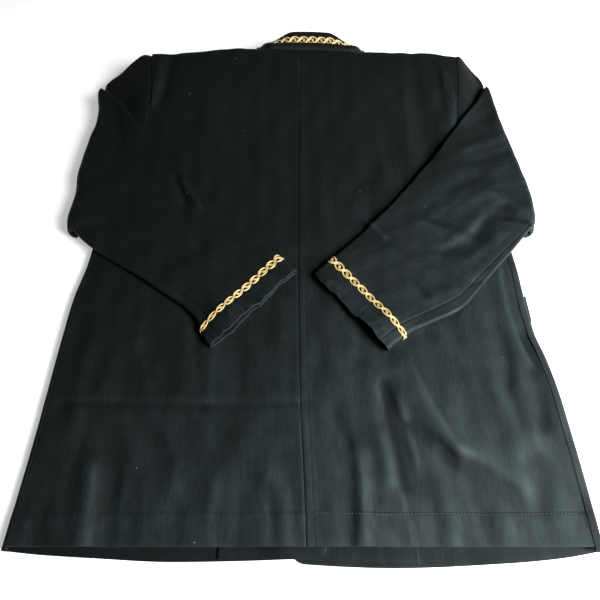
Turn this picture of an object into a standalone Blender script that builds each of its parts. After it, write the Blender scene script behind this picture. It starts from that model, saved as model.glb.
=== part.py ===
"""A jacket of black cotton twill, laid face down with its sleeves folded over its back.

All sizes below are in millimetres until sheet_object() turns them to metres. x runs across the
garment, y from the back hem (0) to the collar, z up from the surface that it lies on. Left and
right are the viewer's, who stands at the hem. Tables of one side hold x as a distance outwards
from the middle, except those of the fronts.
"""

import math

import bpy
import numpy as np

MM = 0.001
WALL = 1.4  # body and sleeve cloth with its seam allowances
FACING_WALL = 1.1
BRAID_WALL = 1.2
SEAM = 0.3  # space left between pieces that are sewn together
CURVED_SEAM = 0.8  # the same where the seam bends
LAY = 0.3  # space left between pieces that lie on each other
LEFT, RIGHT = -1, 1
SIDE_NAMES = {LEFT: "left", RIGHT: "right"}

# Centre back seam, which drifts to the right towards the hem
CENTRE_BACK = {"y": (0, 60, 140, 330, 700), "x": (6, 4, 0.5, -2, -1.5)}

# Half width of the body as it lies, from the hem to the underarm
BODY_HALF = {
    LEFT: {"y": (0, 60, 124, 196, 268, 320, 380, 432), "x": (274, 272, 270.5, 270, 268, 262, 259, 256)},
    RIGHT: {"y": (0, 60, 146, 192, 227, 265, 306, 380, 432), "x": (279, 279, 277, 273, 267, 265, 266, 262, 256)},
}
UNDERARM_Y = 432.0
EDGE_RADIUS = 5.0  # of the roll along each side
SEAM_INBOARD = {LEFT: 6.0, RIGHT: 10.0}  # side seam, measured in from the side, on the upper face

# Armhole seam, from the underarm to the shoulder point, and the rows of points along it
ARMHOLE = {
    LEFT: {"y": (432, 455, 490, 541, 575, 606, 640, 660, 710), "x": (254, 243, 230, 222, 218, 217, 220.5, 223.5, 229)},
    RIGHT: {"y": (432, 455, 490, 530, 561, 608, 640, 660, 710), "x": (252, 246, 233, 225, 227, 232.5, 235, 236, 236)},
}

ARMHOLE_ROWS_Y = (432, 452, 474, 498, 525, 557, 590, 620, 645, 665, 693)

# Line where the far edge starts to round down to the floor, along the shoulders
SHOULDER_LINE = {
    "x": (-300, -239, -200, -150, -93, -60, 17, 95, 128, 190, 219, 237, 300),
    "y": (671, 676, 677, 681, 687, 686, 684, 679, 678, 677, 673, 670, 665),
}
FAR_RADIUS = 22.0
SHOULDER_SEAM_ANGLE = 80.0  # degrees round the far edge, from the top

# Height of the upper face over the floor, at the centre, at the armhole or side, and at the sleeve's fold
THICKNESS = {
    "y": (-30, 100, 200, 300, 400, 500, 550, 600, 640, 700),
    "centre": (5.8, 6.0, 6.4, 8.6, 12.5, 21, 28, 38, 45, 52),
    "side": (10, 10, 10, 10.5, 11.5, 17, 24, 36, 44, 50),
    "fold": (9, 9, 9, 9, 9, 9, 10, 13, 20, 26),
}
OVERLAP_BUMP = {"x": 10.0, "half": 70.0, "height": 3.2}  # where both fronts and facings are stacked

# Largest soft folds of the back: from one end to the other, half width and height
FOLDS = (
    {"x0": 108, "y0": 172, "x1": 158, "y1": 96, "half": 17, "height": 4.0},
    {"x0": 92, "y0": 132, "x1": 112, "y1": 62, "half": 12, "height": -1.5},
    {"x0": 118, "y0": 118, "x1": 222, "y1": 40, "half": 13, "height": -1.6},
    {"x0": 205, "y0": 150, "x1": 226, "y1": 108, "half": 16, "height": 3.5},
    {"x0": 214, "y0": 226, "x1": 226, "y1": 132, "half": 14, "height": -1.5},
    {"x0": 62, "y0": 78, "x1": 68, "y1": 10, "half": 14, "height": 2.4},
    {"x0": -208, "y0": 60, "x1": -206, "y1": 5, "half": 15, "height": 2.6},
    {"x0": -160, "y0": 205, "x1": -142, "y1": 90, "half": 22, "height": -1.4},
    {"x0": -30, "y0": 56, "x1": -30, "y1": 4, "half": 14, "height": 2.0},
    {"x0": 168, "y0": 628, "x1": 176, "y1": 500, "half": 16, "height": -3.5},
    {"x0": -196, "y0": 660, "x1": -206, "y1": 590, "half": 13, "height": -3.0},
)

# Neck and collar
NECK_X = 17.0
NECK_HALF = 86.0
FRONT_NECK_Y = 610.0
BACK_NECK_ANGLE = 18.0  # how far round the far edge the centre back of the neck lies
NECK_TURN = {"from": 60.0, "over": 26.0}  # where the neckline turns down to the shoulder seam
COLLAR_WALL = 1.8
COLLAR_GAP = 3.0  # half the space between its two ends at the front
COLLAR_SECTION = {  # standing part, roll, dip and turned part at the centre back
    "along": (0, 8, 16, 23, 29.5, 39.5, 51),
    "out": (0, 4.5, 11, 18, 25, 33, 43),
    "up": (0, 3.5, 5, -1.5, -5, 0.5, 3),
}
COLLAR_DROP = {"from": 26.0, "over": 44.0, "depth": 20.0}  # its ends sink beside the neck
COLLAR_FLOOR_GAP = 2.5  # room for the braid under the front part
COLLAR_TURNS = 48

# Fronts: x of the columns from each front edge, past the centre, to the end of the flap
FRONT_COLUMNS_X = {
    LEFT: (27.6, 24.6, 16.6, -2.4, -14, -28, -44, -55, -61.5, -66, -69, -76, -100, -125, -150),
    RIGHT: (-8, -5, 3, 22, 44, 67, 86, 98, 103, 110, 125, 150),
}
FACING_COLUMNS = {LEFT: (1, 12), RIGHT: (1, 10)}  # the stretch of them that the facing covers
FRONT_CORNER = 11.0
FRONT_HEM = {  # front hem, which shows beyond the back hem
    LEFT: {"x": (-290, -240, -187, -117, -8, 30), "y": (-1, -6, -9, -12, -10, -9)},
    RIGHT: {"x": (-10, 6, 87, 192, 240, 290), "y": (-12, -14, -17, -13, -9, -1)},
}
FACING_INSET = 2.0  # above the front's hem
OVERLAP_RAMP = {"from": -42.0, "over": 30.0}

# Pocket flaps, whose outer ends reach the sides
FLAP = {"x0": 151.0, "x1": 270.5, "y0": 238.0, "y1": 275.0, "wall": 1.8, "corner": 5.0}
FLAP_RAMP = {"x": 23.0, "y": 9.0}

# Sleeves: edge of each fold, then the lines of the stretch that lies over the back
SLEEVE_FOLD = {
    LEFT: {"y": (340, 368, 390, 418, 470, 528, 558, 630, 650), "x": (286, 296, 299, 299, 303, 301, 297, 307, 309)},
    RIGHT: {"y": (340, 365, 390, 415, 461, 507, 578, 640, 660), "x": (284, 297, 304, 306, 304, 300, 292, 287, 284)},
}
FOLD_ENDS = {LEFT: (628.0, 362.0), RIGHT: (631.0, 362.0)}  # y of the fold's far and near ends
BEND = {  # the roll at the fold: plan radius outside and inside, and the space between the two stretches
    "y": (350, 400, 470, 580, 645),
    "outer": (7.0, 10.0, 12.0, 11.0, 6.5),
    "inner": (2.4, 3.0, 4.0, 4.0, 2.4),
    "gap": (2.0, 4.5, 7.0, 7.0, 3.5),
}
BEND_REACH = 30.0
SHOULDER_POINT_Y = {LEFT: 693.0, RIGHT: 690.0}
SLEEVE_HEAD = {  # shoulder point to fold
    LEFT: {"x": (243, 272, 292, 299), "y": (699, 677, 662, 648)},
    RIGHT: {"x": (246, 262, 279, 282), "y": (697, 687, 665, 650)},
}
SLEEVE_UNDER = {LEFT: {"x": (267,), "y": (408,)}, RIGHT: {"x": (267,), "y": (408,)}}  # underarm to fold
SLEEVE_UPPER_EDGE = {  # fold to cuff
    LEFT: {"x": (284, 227, 146, 70, 20, 4), "y": (617, 542, 441, 357, 318, 303)},
    RIGHT: {"x": (258, 226, 172, 95, 16), "y": (592, 548, 473, 378, 296)},
}
SLEEVE_LOWER_EDGE = {
    LEFT: {"x": (265, 178, 117, 107, 99), "y": (342, 284, 233, 210, 200)},
    RIGHT: {"x": (262, 220, 184, 153, 127, 97), "y": (332, 286, 248, 233, 220, 197)},
}
SLEEVE_THICK = 6.6
SLEEVE_EDGE_RADIUS = 4.0
HEAD_EDGE_RADIUS = 9.0  # of the upper edge where it reaches the fold
SLEEVE_LIFT = 1.9  # the braid under the forearm holds it this far off the back
CUFF_MOUTH = {"from": 0.72, "height": 7.0, "peak": 0.78, "spread": 0.2}
FOREARM_SEAM = {"station": (0, 1, 2, 2.25, 2.6, 3), "c": (0.88, 0.93, 0.965, 0.94, 0.91, 0.895)}
HIND_SEAM = {"station": (0, 1, 3), "c": (0.64, 0.52, 0.46)}

# Scroll braid
BRAID_HALF = 5.0
BRAID_WAVE = 1.1  # depth of its scalloped edges
BRAID_REPEAT = 14.0
BRAID_FROM_CUFF = {LEFT: 27.0, RIGHT: 30.0}  # at the sleeve's upper edge
BRAID_SLANT = {LEFT: 16.0, RIGHT: 13.0}  # how much farther it lies from the cuff at the lower edge
BRAID_STEPS = 4  # mesh steps in each repeat
BRAID_LEAST_STEP = 1.0
COLLAR_BRAID_LIFT = 1.1  # the collar bends both ways under its braid

COLOURS = {
    "twill": (0.012, 0.016, 0.017, 1.0),
    "facing": (0.010, 0.013, 0.014, 1.0),
    "collar": (0.008, 0.010, 0.011, 1.0),
    "braid": (0.62, 0.47, 0.19, 1.0),
}


def curve(table, key, by="y"):
    """A smooth function through one column of a table, without overshoot."""
    xs, ys = np.array(table[by], float), np.array(table[key], float)
    steps = np.diff(xs)
    slopes = np.diff(ys) / steps
    lean = np.zeros(len(xs))
    lean[0], lean[-1] = slopes[0], slopes[-1]
    for i in range(1, len(xs) - 1):
        before, after = slopes[i - 1], slopes[i]
        if before * after > 0:
            w1, w2 = 2 * steps[i] + steps[i - 1], steps[i] + 2 * steps[i - 1]
            lean[i] = (w1 + w2) / (w1 / before + w2 / after)

    def value(x):
        x = np.clip(np.asarray(x, float), xs[0], xs[-1])
        i = np.clip(np.searchsorted(xs, x) - 1, 0, len(steps) - 1)
        t = (x - xs[i]) / steps[i]
        a = (1 + 2 * t) * (1 - t) ** 2
        start = a * ys[i] + t * (1 - t) ** 2 * steps[i] * lean[i]
        return start + (1 - a) * ys[i + 1] - t * t * (1 - t) * steps[i] * lean[i + 1]

    return value


def route(start, table, end):
    """A smooth plan line from start through a table's points to end, read by the share of its length."""
    points = np.array([start, *zip(table["x"], table["y"]), *end], float)
    length = np.concatenate([[0], np.cumsum(np.linalg.norm(np.diff(points, axis=0), axis=1))])
    share = {"share": length / length[-1], "x": points[:, 0], "y": points[:, 1]}
    across, up = curve(share, "x", "share"), curve(share, "y", "share")
    return lambda t: np.stack([across(t), up(t)], axis=-1)


def soft(t):
    """0 to 1 with a smooth start and end."""
    t = np.clip(t, 0.0, 1.0)
    return t * t * (3 - 2 * t)


def stacked(*columns):
    return np.stack(np.broadcast_arrays(*columns), axis=-1)


centre_back = curve(CENTRE_BACK, "x")
shoulder_line = curve(SHOULDER_LINE, "y", "x")
thick = {key: curve(THICKNESS, key) for key in ("centre", "side", "fold")}
bend = {key: curve(BEND, key) for key in ("outer", "inner", "gap")}
body_half = {side: curve(BODY_HALF[side], "x") for side in SIDE_NAMES}
armhole_curve = {side: curve(ARMHOLE[side], "x") for side in SIDE_NAMES}
fold_edge = {side: curve(SLEEVE_FOLD[side], "x") for side in SIDE_NAMES}
front_hem = {side: curve(FRONT_HEM[side], "y", "x") for side in SIDE_NAMES}
forearm_seam = curve(FOREARM_SEAM, "c", "station")
hind_seam = curve(HIND_SEAM, "c", "station")
collar_out = curve(COLLAR_SECTION, "out", "along")
collar_up = curve(COLLAR_SECTION, "up", "along")


def armhole_x(side, y):
    """The armhole seam, straight between its rows so that the pieces on both sides share one line."""
    return np.interp(y, ARMHOLE_ROWS_Y, armhole_curve[side](ARMHOLE_ROWS_Y))


# Heights of the laid garment

def body_edge(side, y):
    """Where the upper face of the body ends: the side roll, then the armhole."""
    y = np.asarray(y, float)
    return np.where(y < UNDERARM_Y, body_half[side](y) - SEAM_INBOARD[side], armhole_x(side, y))


def fold_relief(x, y):
    """Height that the large soft folds add or take away."""
    total = np.zeros(np.broadcast(x, y).shape)
    for fold in FOLDS:
        dx, dy = fold["x1"] - fold["x0"], fold["y1"] - fold["y0"]
        t = ((x - fold["x0"]) * dx + (y - fold["y0"]) * dy) / (dx * dx + dy * dy)
        near = np.clip(t, 0.0, 1.0)
        gap = np.hypot(x - fold["x0"] - near * dx, y - fold["y0"] - near * dy)
        total = total + fold["height"] * np.exp(-((gap / fold["half"]) ** 2))
    return total


def top_height(x, y):
    """Upper face of the body, and of the first stretch of each sleeve beside it."""
    x, y = np.broadcast_arrays(np.asarray(x, float), np.asarray(y, float))
    height = np.empty(x.shape)
    for side, mask in ((LEFT, x < 0), (RIGHT, x >= 0)):
        out, ys = np.abs(x[mask]), y[mask]
        edge = body_edge(side, ys)
        inward = np.clip(out / edge, 0.0, 1.0)
        inner = thick["side"](ys) + (thick["centre"](ys) - thick["side"](ys)) * (1 - inward**4)
        axis = fold_edge[side](ys) - bend["outer"](ys)
        beyond = soft((out - edge) / np.maximum(axis - edge, 10.0)) * soft((ys - UNDERARM_Y + 60) / 40)
        height[mask] = inner + (thick["fold"](ys) - inner) * beyond
    bump = OVERLAP_BUMP["height"] * (1 - soft((np.abs(x - OVERLAP_BUMP["x"]) - 20) / OVERLAP_BUMP["half"]))
    return height + bump * (1 - soft((y - 250) / 150)) + fold_relief(x, y)


def far_point(x, angle):
    """A point round the far edge: angle 0 is on top, 180 on the floor."""
    start = shoulder_line(x)
    half = top_height(x, start) / 2
    turn = np.radians(angle)
    return start + FAR_RADIUS * np.sin(turn), half + half * np.cos(turn)


def back_columns(side, y):
    start = centre_back(y) + side * SEAM / 2
    return start + (side * (body_edge(side, y) - SEAM / 2) - start) * np.array(BACK_SHARES)


def neck_angle(x):
    """How far round the far edge the backs reach, straight between their columns of points."""
    stops = np.sort(np.concatenate([back_columns(side, SHOULDER_POINT_Y[side]) for side in SIDE_NAMES]))
    aside = soft((np.abs(stops - NECK_X) - NECK_TURN["from"]) / NECK_TURN["over"])
    return np.interp(x, stops, BACK_NECK_ANGLE + (SHOULDER_SEAM_ANGLE - BACK_NECK_ANGLE) * aside)


def as_angle(length):
    """A length along the far edge, in degrees."""
    return math.degrees(length / FAR_RADIUS)


# Meshes

def normals_of(grid):
    normal = np.cross(np.gradient(grid, axis=1), np.gradient(grid, axis=0))
    return normal / np.linalg.norm(normal, axis=2, keepdims=True)


def turned(grid, direction, row=None, column=None):
    """The grid with its columns in the order that makes its normal point the given way."""
    row = grid.shape[0] // 2 if row is None else row
    column = grid.shape[1] // 2 if column is None else column
    return grid if np.dot(normals_of(grid)[row, column], direction) > 0 else grid[:, ::-1]


def material(name, colour):
    finish = bpy.data.materials.new(name)
    finish.use_nodes = True
    shader = finish.node_tree.nodes["Principled BSDF"]
    metal = colour == "braid"
    shader.inputs["Base Color"].default_value = COLOURS[colour]
    shader.inputs["Roughness"].default_value = 0.4 if metal else 0.85
    shader.inputs["Metallic"].default_value = 0.8 if metal else 0.0
    finish.diffuse_color = COLOURS[colour]
    return finish


def sheet_object(name, outer, inner, colour, closed=False):
    """One closed body between two grids of points. A closed sheet joins its last column to its first."""
    rows, columns = outer.shape[:2]
    points = np.concatenate([outer.reshape(-1, 3), inner.reshape(-1, 3)]) * MM
    half = rows * columns
    spans = columns if closed else columns - 1
    faces = []
    for j in range(spans):
        k = (j + 1) % columns
        for i in range(rows - 1):
            a, b = i * columns + j, i * columns + k
            faces.append((a, b, b + columns, a + columns))
            faces.append((half + a + columns, half + b + columns, half + b, half + a))
        last = half - columns
        faces.append((k, j, half + j, half + k))
        faces.append((last + j, last + k, half + last + k, half + last + j))
    if not closed:
        for i in range(rows - 1):
            a, b = i * columns, (i + 1) * columns
            faces.append((a, b, half + b, half + a))
            a, b = a + columns - 1, b + columns - 1
            faces.append((b, a, half + a, half + b))
    mesh = bpy.data.meshes.new(name)
    mesh.from_pydata([tuple(point) for point in points], [], faces)
    mesh.shade_smooth()
    mesh.set_sharp_from_angle(angle=math.radians(50))
    mesh.materials.append(material(name, colour))
    thing = bpy.data.objects.new(name, mesh)
    bpy.context.scene.collection.objects.link(thing)
    return thing


def cloth_object(name, outer, wall, colour, seam_side=None):
    """A sheet with its wall behind its outer face. At an armhole the wall is cut square to x."""
    normals = normals_of(outer)
    if seam_side:
        x, y = seam_side * outer[..., 0], outer[..., 1]
        at_seam = (y > UNDERARM_Y - 1) & (np.abs(x - armhole_x(seam_side, y)) < 1)
        normals[at_seam, 0] = 0.0
        normals = normals / np.linalg.norm(normals, axis=2, keepdims=True)
    return sheet_object(name, outer, outer - wall * normals, colour)


# Back

BACK_ROWS_Y = (0, 12, 31, 55, 80, 105, 130, 155, 180, 210, 245, 285, 330, 375, 415, *ARMHOLE_ROWS_Y[:-1])
BACK_SHARES = (0.0, 0.09, 0.2, 0.3, 0.38, 0.46, 0.54, 0.63, 0.72, 0.81, 0.9, 1.0)
FAR_STEPS = 5


def back_piece(side):
    rows = []
    for y in BACK_ROWS_Y:
        x = back_columns(side, y)
        rows.append(stacked(x, y, top_height(x, y)))
    for step in range(FAR_STEPS + 1):
        share = step / FAR_STEPS
        end = far_point(side * armhole_x(side, SHOULDER_POINT_Y[side]), SHOULDER_SEAM_ANGLE * share)
        x = back_columns(side, end[0])
        rows.append(stacked(x, *far_point(x, (neck_angle(x) - as_angle(CURVED_SEAM / 2)) * share)))
    cloth_object(f"back_{SIDE_NAMES[side]}", turned(np.array(rows), (0, 0, 1)), WALL, "twill", side)


# Fronts

FRONT_ROWS_Y = (12, 40, 80, 120, 160, 200, 229, 239, 274, 284, 330, 380, 415, *ARMHOLE_ROWS_Y[:7])
FRONT_END_SHARES = (0.252, 0.464, 0.635, 0.82, 1.0)  # the first three end on the armhole's rows
FRONT_SIDE_SHARES = (0.34, 0.67, 1.0)
ROLL_STEPS = 5
ROLL_LEAST = 0.5  # spacing of the roll's columns where the armhole leaves it none


def overlap_rise(side, x):
    """The left front climbs over the right front and its facing."""
    if side == RIGHT:
        return np.zeros(np.shape(x))
    return (WALL + FACING_WALL + 2 * LAY) * soft((x - OVERLAP_RAMP["from"]) / OVERLAP_RAMP["over"])


def flap_rise(x, y):
    """A front lies over its pocket flap."""
    inside_x = soft((np.abs(x) - FLAP["x0"] + FLAP_RAMP["x"] + 2) / FLAP_RAMP["x"])
    above = soft((y - FLAP["y0"] + FLAP_RAMP["y"] + 1) / FLAP_RAMP["y"])
    below = soft((FLAP["y1"] + FLAP_RAMP["y"] + 1 - y) / FLAP_RAMP["y"])
    return (FLAP["wall"] + LAY + 0.1) * inside_x * above * below


def hem_corner(side, x):
    """How far the hem rises in the rounded corner at the front edge."""
    inside = FRONT_CORNER - np.clip(side * (x - FRONT_COLUMNS_X[side][0]), 0.0, FRONT_CORNER)
    return FRONT_CORNER - np.sqrt(FRONT_CORNER**2 - inside**2)


def front_length(x):
    """Length of a front along its section, from the hem line to the neck or shoulder seam."""
    full = shoulder_line(x) + math.radians(180 - SHOULDER_SEAM_ANGLE) * FAR_RADIUS - CURVED_SEAM / 2
    aside = np.clip(np.abs(x - NECK_X) / NECK_HALF, 0.0, 1.0)
    return full - (full - FRONT_NECK_Y) * np.sqrt(1 - aside**2)


def front_section(side, x, length):
    """A point of a front's outer face at a length along its section."""
    start = shoulder_line(x)
    turn = np.degrees(np.maximum(length - start, 0.0) / FAR_RADIUS)
    y, z = far_point(x, 180 - turn)
    rise = overlap_rise(side, x) + flap_rise(x, length)
    on_floor = length <= start
    return np.where(on_floor, length, y), np.where(on_floor, rise, z)


def front_columns(side, y):
    """x of the flat columns of a front at a row, and how much of the side roll that row has."""
    roll = float(1 - soft((y - 395) / 37))
    reach = body_half[side](y) - EDGE_RADIUS if y < UNDERARM_Y else armhole_x(side, y) - CURVED_SEAM / 2
    reach = reach - (1 - roll) * ROLL_STEPS * ROLL_LEAST
    near = np.array(FRONT_COLUMNS_X[side], float)
    far = near[-1] + (side * reach - near[-1]) * np.array(FRONT_SIDE_SHARES)
    return np.concatenate([near, far]), roll


def side_roll(side, edge, roll):
    """The columns that roll round the side and on to the seam on the upper face."""
    length = math.pi * EDGE_RADIUS + SEAM_INBOARD[side] - EDGE_RADIUS - CURVED_SEAM
    top = float(top_height(edge[0], edge[1]))
    for step in range(1, ROLL_STEPS + 1):
        along = length * roll * step / ROLL_STEPS
        turn = min(along / EDGE_RADIUS, math.pi)
        back = max(along - math.pi * EDGE_RADIUS, 0.0)
        out = EDGE_RADIUS * math.sin(turn) - back + (1 - roll) * ROLL_LEAST * step
        yield edge + np.array([side * out, 0.0, (top - edge[2]) * (1 - math.cos(turn)) / 2])


def front_piece(side):
    grid = []
    x, roll = front_columns(side, 0.0)
    lengths = [(x, front_hem[side](x) + hem_corner(side, x), roll)]
    for y in FRONT_ROWS_Y:
        x, roll = front_columns(side, y)
        lengths.append((x, np.full(x.shape, float(y)), roll))
    last = float(front_length(side * armhole_x(side, SHOULDER_POINT_Y[side])))
    for share in FRONT_END_SHARES:
        y = FRONT_ROWS_Y[-1] + (last - FRONT_ROWS_Y[-1]) * share
        x, roll = front_columns(side, min(y, SHOULDER_POINT_Y[side]))
        lengths.append((x, FRONT_ROWS_Y[-1] + (front_length(x) - FRONT_ROWS_Y[-1]) * share, roll))
    for x, length, roll in lengths:
        row = list(stacked(x, *front_section(side, x, length)))
        grid.append(row + list(side_roll(side, row[-1], roll)))
    outer = turned(np.array(grid), (0, 0, -1), row=3, column=3)
    cloth_object(f"front_{SIDE_NAMES[side]}", outer, WALL, "twill", side)


def facing_piece(side):
    """The strip inside a front, made from the front's own points, from the hem to the neck."""
    first, last = FACING_COLUMNS[side]
    x = np.array(FRONT_COLUMNS_X[side][first:last], float)
    ends = (front_hem[side](x) + hem_corner(side, x) + FACING_INSET, FRONT_ROWS_Y[-1])
    rows = [stacked(x, y, overlap_rise(side, x)) for y in ends]
    lower = turned(np.array(rows), (0, 0, 1)) + np.array([0.0, 0.0, WALL + LAY])
    sheet_object(f"facing_{SIDE_NAMES[side]}", lower + np.array([0.0, 0.0, FACING_WALL]), lower, "facing")


def flap_piece(side):
    """A pocket flap between its front and the floor, with its two lower corners rounded."""
    corner, grid = FLAP["corner"], []
    outline = [(FLAP["y0"] + corner * (1 - math.cos(t)), corner * (1 - math.sin(t))) for t in np.linspace(0, math.pi / 2, 5)]
    for y, inset in (*outline, (FLAP["y1"], 0.0)):
        x = side * np.linspace(FLAP["x0"] + inset, FLAP["x1"] - inset, 4)
        grid.append(stacked(x, y, FLAP["wall"]))
    upper = turned(np.array(grid), (0, 0, 1))
    sheet_object(f"pocket_flap_{SIDE_NAMES[side]}", upper, upper - np.array([0.0, 0.0, FLAP["wall"]]), "twill")


# Sleeves. A station runs along the sleeve: 0 armhole, 1 to 2 round the fold, 3 cuff. c runs across it,
# from its upper to its lower edge. Layer 0 is the face that shows, 1 the one that lies against the back.

HEAD_STATIONS = (0.0, 0.18, 0.38, 0.6, 0.82)
BEND_STATIONS = (1.0, 1.18, 1.36, 1.52, 1.68, 1.84)
FOREARM_STATIONS = (2.0, 2.07, 2.15, 2.25, 2.36, 2.47, 2.58, 2.69, 2.8)


def armhole_at(side, y):
    return float(armhole_x(side, y) + CURVED_SEAM / 2)


def fold_at(side, y):
    return float(fold_edge[side](y) - bend["outer"](y))


def sleeve_lines(side):
    """The plan lines of the sleeve's edges, before and after the fold."""
    top, bottom = FOLD_ENDS[side]
    shoulder = (armhole_at(side, SHOULDER_POINT_Y[side]), SHOULDER_POINT_Y[side])
    underarm = (armhole_at(side, UNDERARM_Y), UNDERARM_Y)
    far, near = (fold_at(side, top), top), (fold_at(side, bottom), bottom)
    return {
        "head": route(shoulder, SLEEVE_HEAD[side], [far]),
        "under": route(underarm, SLEEVE_UNDER[side], [near]),
        "upper": route(far, SLEEVE_UPPER_EDGE[side], []),
        "lower": route(near, SLEEVE_LOWER_EDGE[side], []),
    }


lines = {side: sleeve_lines(side) for side in SIDE_NAMES}


def line_across(side, place, ends):
    """A plan line across the sleeve whose x follows a function of y, between two y."""

    def line(c):
        y = ends[0] + (ends[1] - ends[0]) * np.asarray(c, float)
        return np.stack([np.vectorize(lambda one: place(side, one))(y), y], axis=-1)

    return line


def cuff_line(side):
    top, bottom = lines[side]["upper"](1.0), lines[side]["lower"](1.0)
    return lambda c: top + (bottom - top) * np.asarray(c, float)[..., None]


across = {
    side: {
        "armhole": line_across(side, armhole_at, (SHOULDER_POINT_Y[side], UNDERARM_Y)),
        "fold": line_across(side, fold_at, FOLD_ENDS[side]),
        "cuff": cuff_line(side),
    }
    for side in SIDE_NAMES
}


def patch(c, s, far, near, start, end):
    """A plan surface between four lines: far and near along it, start and end across it."""
    sides = (1 - c[..., None]) * far(s) + c[..., None] * near(s)
    c, s = c[..., None], s[..., None]
    ends = (1 - s) * start(c[..., 0]) + s * end(c[..., 0])
    corners = (1 - c) * ((1 - s) * far(0.0) + s * far(1.0)) + c * ((1 - s) * near(0.0) + s * near(1.0))
    return sides + ends - corners


def rest_height(side, x, y):
    """Lower face of the folded stretch, over the back and over the sleeve's own first stretch."""
    axis = fold_edge[side](y) - bend["outer"](y)
    spring = bend["gap"](y) * np.exp(-((np.maximum(axis - x, 0.0) / BEND_REACH) ** 2))
    return top_height(side * x, y) + SLEEVE_LIFT + spring


def tube_height(c, station):
    """Thickness of the folded stretch, more where the cuff's mouth gapes."""
    mouth = soft((station - 2 - CUFF_MOUTH["from"]) / (1 - CUFF_MOUTH["from"]))
    gape = np.exp(-(((c - CUFF_MOUTH["peak"]) / CUFF_MOUTH["spread"]) ** 2))
    return SLEEVE_THICK + CUFF_MOUTH["height"] * mouth * gape


def sleeve_point(side, c, layer, station):
    """A point of the sleeve's outer face. Past the fold its station may differ from point to point."""
    if np.max(station) < 1:
        plan = patch(c, np.full(c.shape, station), lines[side]["head"], lines[side]["under"], across[side]["armhole"], across[side]["fold"])
        x, y = plan[..., 0], plan[..., 1]
        return stacked(side * x, y, layer * top_height(side * x, np.minimum(y, shoulder_line(side * x))))
    if np.max(station) < 2:
        turn = math.pi * (station - 1)
        plan = across[side]["fold"](c)
        x, y = plan[..., 0], plan[..., 1]
        first, folded = top_height(side * x, y), tube_height(c, 2)
        depth = layer * (first + (folded - first) * (station - 1))
        radius = bend["outer"](y) - (bend["outer"](y) - bend["inner"](y)) * layer
        middle = (rest_height(side, x, y) + folded) / 2
        return stacked(side * (x + radius * math.sin(turn)), y, middle - (middle - depth) * math.cos(turn))
    s = np.broadcast_to(station - 2.0, c.shape)
    plan = patch(c, s, lines[side]["upper"], lines[side]["lower"], across[side]["fold"], across[side]["cuff"])
    x, y = plan[..., 0], plan[..., 1]
    return stacked(side * x, y, rest_height(side, x, y) + (1 - layer) * tube_height(c, station))


def sleeve_width(side, station):
    if station <= 1:
        ends = lines[side]["head"](station), lines[side]["under"](station)
    else:
        s = max(station - 2.0, 0.0)
        ends = lines[side]["upper"](s), lines[side]["lower"](s)
    return float(np.linalg.norm(ends[1] - ends[0]))


def edge_shares(side, station):
    """Plan radii of the upper and of the lower edge, as shares of the width."""
    head, tail = soft(station), soft((station - 2) / 0.3)
    upper = FAR_RADIUS + (HEAD_EDGE_RADIUS - FAR_RADIUS) * head
    upper = upper + (SLEEVE_EDGE_RADIUS - upper) * tail
    lower = EDGE_RADIUS + (SLEEVE_EDGE_RADIUS - EDGE_RADIUS) * head
    width = sleeve_width(side, station)
    return upper / width, lower / width


def half_ring(side, station, which):
    """Positions round the sleeve, as c and layer, of its upper or of its under piece."""
    upper, lower = edge_shares(side, station)
    gap = CURVED_SEAM / 2 / sleeve_width(side, station)
    seam, hind = float(forearm_seam(station)), float(hind_seam(station))
    turn = np.radians(np.linspace(0, 180, 6))
    if which == "upper":
        face = np.linspace(seam - gap, upper, 8)
        edge = upper * (1 - np.sin(turn))
        under = np.linspace(upper, hind - gap, 4)
    else:
        face = np.linspace(seam + gap, 1 - lower, 3)
        edge = 1 - lower * (1 - np.sin(turn))
        under = np.linspace(1 - lower, hind + gap, 5)
    c = np.concatenate([face[:-1], edge, under[1:]])
    layer = np.concatenate([np.zeros(len(face) - 1), (1 - np.cos(turn)) / 2, np.ones(len(under) - 1)])
    return c, layer


def braid_ring(side, which, edge):
    """Points under one edge of the cuff braid, which slants away from the cuff towards the forearm seam."""
    forearm = lines[side]["upper"](np.linspace(0, 1, 50))
    length = float(np.linalg.norm(np.diff(forearm, axis=0), axis=1).sum())
    c, layer = half_ring(side, 3 - BRAID_FROM_CUFF[side] / length, which)
    distance = BRAID_FROM_CUFF[side] + BRAID_SLANT[side] * c - edge * BRAID_HALF
    return sleeve_point(side, c, layer, 3 - distance / length)


def sleeve_rows(side, which):
    def row(station):
        return sleeve_point(side, *half_ring(side, station, which), station)

    rows = [row(station) for station in (*HEAD_STATIONS, *BEND_STATIONS, *FOREARM_STATIONS)]
    braid = [braid_ring(side, which, edge) for edge in (-1, 1)]
    return np.array([*rows, *braid, row(2.97), row(3.0)])


def sleeve_pieces(side):
    for which in ("upper", "under"):
        outer = turned(sleeve_rows(side, which), (0, 0, 1), row=-4, column=0)
        cloth_object(f"{which}_sleeve_{SIDE_NAMES[side]}", outer, WALL, "twill", side)


# Collar

def neckline(x):
    """Length of the fronts up to the neck seam, straight between their columns of points."""
    lengths = []
    for side in SIDE_NAMES:
        columns = front_columns(side, SHOULDER_POINT_Y[side])[0]
        order = np.argsort(columns)
        columns = columns[order]
        inside = (x >= columns[0]) & (x <= columns[-1])
        lengths.append(np.where(inside, np.interp(x, columns, front_length(columns)), 0.0))
    return np.maximum(*lengths)


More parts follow.
